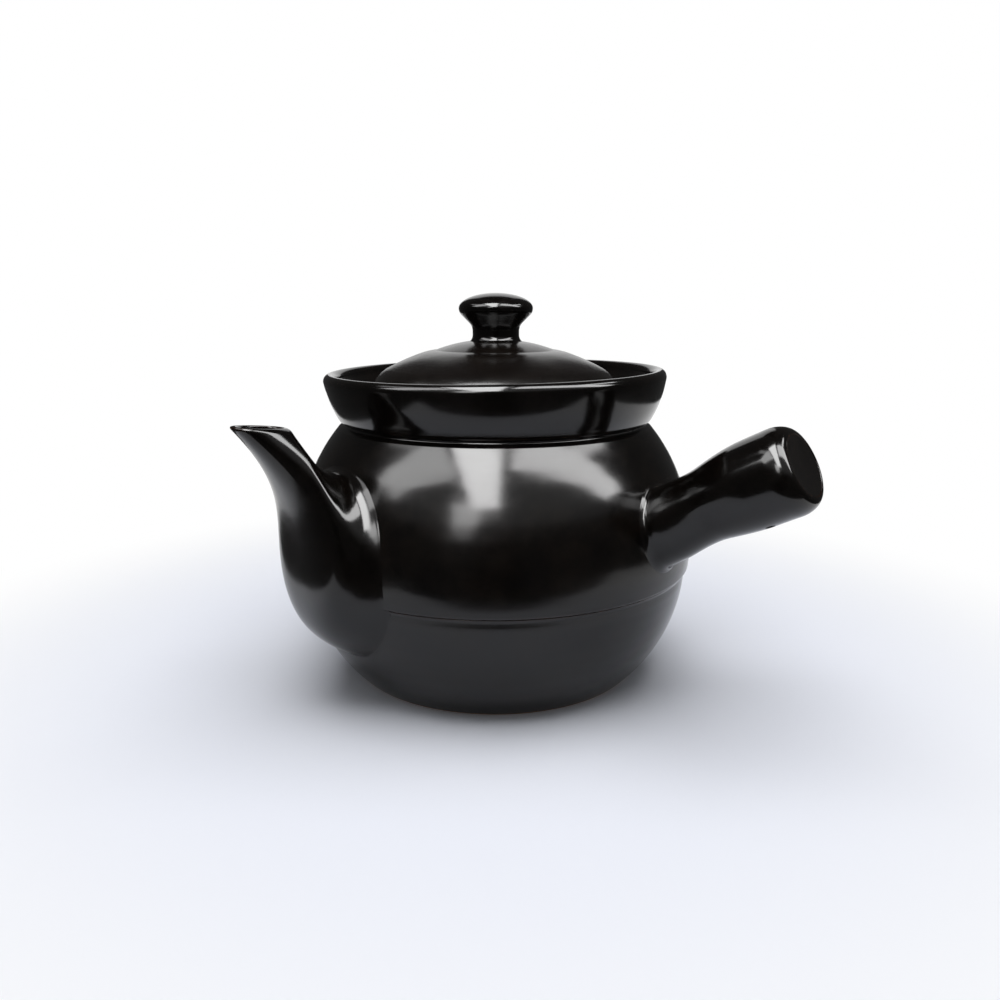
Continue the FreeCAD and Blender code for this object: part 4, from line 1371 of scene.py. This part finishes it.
def velvet_material():
    """Black velvet drapes that emit painted light: a painted glow of the lamps, stronger high up and
    towards the front, over a faint painted glow that grows off to the sides.
    """
    low, high = 0.8, 1.6            # the painted lamp glow grows between these heights
    near, far = -0.6, -1.6          # and between these places towards the front
    # strength of the painted glow of the lamps, emitted by the cloth
    painted_lamp_glow = 0.42
    straight, slanted = 0.14, 0.32  # sideways run per unit of depth
    # faint painted glow everywhere on the cloth, stronger off to the sides
    faint, painted_glow_aside = 0.02, 0.05
    material, tree = empty_material("Black velvet with painted glow")
    place = add(tree, "ShaderNodeTexCoord").outputs["Object"]
    at = add(tree, "ShaderNodeSeparateXYZ", {0: place}).outputs
    glow = add(tree, "ShaderNodeMapRange", {
        "Value": at["Z"], "From Min": low, "From Max": high, "To Min": 0.0,
        "To Max": painted_lamp_glow}, interpolation_type="SMOOTHSTEP")
    front = add(tree, "ShaderNodeMapRange", {
        "Value": at["Y"], "From Min": near, "From Max": far}, interpolation_type="SMOOTHSTEP")
    lit = add(tree, "ShaderNodeMath", {0: glow.outputs[0], 1: front.outputs[0]},
              operation="MULTIPLY")
    aside = add(tree, "ShaderNodeMath", {0: at["X"], 1: at["Y"]}, operation="DIVIDE")
    aside = add(tree, "ShaderNodeMath", {0: aside.outputs[0]}, operation="ABSOLUTE")
    dim = add(tree, "ShaderNodeMapRange", {
        "Value": aside.outputs[0], "From Min": straight, "From Max": slanted, "To Min": faint,
        "To Max": painted_glow_aside}, interpolation_type="SMOOTHSTEP")
    strength = add(tree, "ShaderNodeMath", {0: lit.outputs[0], 1: dim.outputs[0]},
                   operation="ADD")
    # the cloth emits this painted glow though it is no lamp
    light = add(tree, "ShaderNodeEmission", {"Strength": strength.outputs[0]})
    add(tree, "ShaderNodeOutputMaterial", {"Surface": light.outputs[0]})
    return material


def lamp(name, centre, across, deep, radiance, turned_by=0, matt=False):
    """Overhead lamp, facing straight down and turned in degrees about the upright.

    One kind lights matt surfaces, the other is what the glaze mirrors.
    """
    light = bpy.data.lights.new(name, "AREA")
    light.shape = "RECTANGLE"
    light.size = across
    light.size_y = deep
    light.energy = radiance * math.pi * across * deep
    lamp_object = bpy.data.objects.new(name, light)
    lamp_object.location = centre
    lamp_object.rotation_euler = (0, 0, math.radians(turned_by))
    lamp_object.visible_camera = False
    lamp_object.visible_diffuse = matt
    lamp_object.visible_glossy = not matt
    bpy.context.scene.collection.objects.link(lamp_object)
    return lamp_object


# Name, place in x and y, width, depth, radiance, and turn about the upright in degrees
STRIPS = (
    ("front", -0.10, -0.565, 0.28, 0.93, 15.5, 0),
    ("right", 0.73, -0.31, 1.26, 0.32, 10.5, 0),
    ("right_arm", 0.56, -0.02, 0.14, 0.34, 8.0, -31),
    ("left", -0.68, -0.33, 0.80, 0.38, 6.3, 0),
    ("left_arm", -0.50, -0.02, 0.14, 0.34, 2.5, 34),
    ("front_left", -0.36, -1.17, 0.34, 0.60, 7.0, -20),
    ("far_left", -0.58, -1.72, 0.36, 0.60, 4.0, -20),
)


class POT_OT_stage(bpy.types.Operator):
    """Lay the pale floor, hang the lamps and set the camera"""
    bl_idname = "pot.stage"
    bl_label = "Stage"

    def execute(self, context):
        studio = context.scene.pot_studio
        self.make_floor(studio)
        self.make_drapes(studio)
        self.make_lamps(studio)
        self.make_world(studio)
        self.make_camera(studio)
        context.scene.view_settings.view_transform = "Standard"
        return {"FINISHED"}

    def make_floor(self, studio):
        half = 40.0                     # far enough out to meet the horizon
        points = [(-half, -half, 0), (half, -half, 0), (half, half, 0), (-half, half, 0)]
        stage_piece("floor", points, [(0, 1, 2, 3)], card_material(studio), True)

    def make_drapes(self, studio):
        """Dome of black cloth with a gap behind the pot, and cloth around the white table."""
        radius = 3.0
        velvet = velvet_material()
        rings, sides = 36, 144
        points = []
        faces = []
        for i in range(rings + 1):
            height = math.pi / 2 * i / rings
            for j in range(sides):
                around = math.tau * j / sides + math.pi / 2
                points.append((radius * math.cos(height) * math.cos(around),
                               radius * math.cos(height) * math.sin(around),
                               radius * math.sin(height)))
        for i in range(rings):
            for j in range(sides):
                middle = math.tau * (j + 0.5) / sides
                turned_away = min(middle, math.tau - middle)
                level = math.pi / 2 * (i + 0.5) / rings
                if turned_away < studio.gap_half and level < studio.gap_top:
                    continue
                k = (j + 1) % sides
                faces.append((i * sides + j, (i + 1) * sides + j, (i + 1) * sides + k, i * sides + k))
        stage_piece("drapes", points, faces, velvet, False)

        left, right, front = studio.table_left, studio.table_right, studio.table_front
        back_left = left - studio.table_lean * (radius - front)
        level = 0.5 * MM
        places = [(-radius, front), (left, front), (back_left, radius), (-radius, radius),
                  (right, front), (radius, front), (radius, radius), (right, radius),
                  (-radius, -radius), (radius, -radius)]
        faces = [(0, 1, 2, 3), (4, 5, 6, 7), (8, 9, 5, 0)]
        stage_piece("table_cloth", [(x, y, level) for x, y in places], faces, velvet, False)

    def make_lamps(self, studio):
        """Softbox for the matt surfaces, and the strips that the glaze mirrors."""
        softbox_centre = (0, -0.12, 0.90)
        softbox_width, softbox_depth = 1.00, 0.90
        lamp("softbox", softbox_centre, softbox_width, softbox_depth, studio.softbox, matt=True)
        for name, x, y, across, deep, radiance, turned_by in STRIPS:
            lamp("strip_" + name, (x, y, studio.lamp_height), across, deep,
                 radiance * studio.gloss_light, turned_by)

    def make_world(self, studio):
        world = bpy.data.worlds.new("White room")
        bpy.context.scene.world = world
        world.use_nodes = True
        tree = world.node_tree
        tree.nodes.clear()
        strength = add(tree, "ShaderNodeMapRange", {
            "Value": seen_share(tree), "To Min": studio.fill, "To Max": 1.0})
        light = add(tree, "ShaderNodeBackground", {
            "Color": (1, 1, 1, 1), "Strength": strength.outputs[0]})
        add(tree, "ShaderNodeOutputWorld", {"Surface": light.outputs[0]})

    def make_camera(self, studio):
        camera = bpy.data.cameras.new("camera")
        camera.lens = studio.focal_length
        camera.sensor_width = 36.0
        camera.clip_start = 0.01
        eye = bpy.data.objects.new("camera", camera)
        eye.location = (0, -studio.camera_distance, studio.camera_height)
        eye.rotation_euler = (math.pi / 2 - studio.camera_pitch, 0, -studio.camera_yaw)
        bpy.context.scene.collection.objects.link(eye)
        bpy.context.scene.camera = eye


# ------------------------------------------------------------------ add-on
SETTINGS = {
    "pot_body": BodySizes,
    "pot_spout": SpoutSizes,
    "pot_handle": HandleSizes,
    "pot_lid": LidSizes,
    "pot_glaze": GlazeLook,
    "pot_studio": StudioSettings,
}
OPERATORS = (
    POT_OT_lower_bowl, POT_OT_upper_shell, POT_OT_collar, POT_OT_spout, POT_OT_handle_tube,
    POT_OT_handle_end, POT_OT_lid_dome, POT_OT_lid_ring, POT_OT_lid_knob, POT_OT_stage,
)


class POT_PT_members(bpy.types.Panel):
    """Buttons for every member and the stage, and the sizes behind them"""
    bl_idname = "POT_PT_members"
    bl_label = "Herbal decoction pot"
    bl_space_type = "VIEW_3D"
    bl_region_type = "UI"
    bl_category = "Pot"

    def draw(self, context):
        for operator in OPERATORS:
            self.layout.operator(operator.bl_idname)
        for name, group in SETTINGS.items():
            box = self.layout.box()
            for field in group.__annotations__:
                box.prop(getattr(context.scene, name), field)


def register():
    for group in SETTINGS.values():
        bpy.utils.register_class(group)
    for name, group in SETTINGS.items():
        setattr(bpy.types.Scene, name, bpy.props.PointerProperty(type=group))
    for operator in OPERATORS:
        bpy.utils.register_class(operator)
    bpy.utils.register_class(POT_PT_members)


def unregister():
    bpy.utils.unregister_class(POT_PT_members)
    for operator in reversed(OPERATORS):
        bpy.utils.unregister_class(operator)
    for name, group in SETTINGS.items():
        delattr(bpy.types.Scene, name)
        bpy.utils.unregister_class(group)


def main():
    register()
    bpy.ops.pot.lower_bowl()
    bpy.ops.pot.upper_shell()
    bpy.ops.pot.collar()
    bpy.ops.pot.spout()
    bpy.ops.pot.handle_tube()
    bpy.ops.pot.handle_end()
    bpy.ops.pot.lid_dome()
    bpy.ops.pot.lid_ring()
    bpy.ops.pot.lid_knob()
    bpy.ops.pot.stage()


if __name__ == "__main__":
    main()
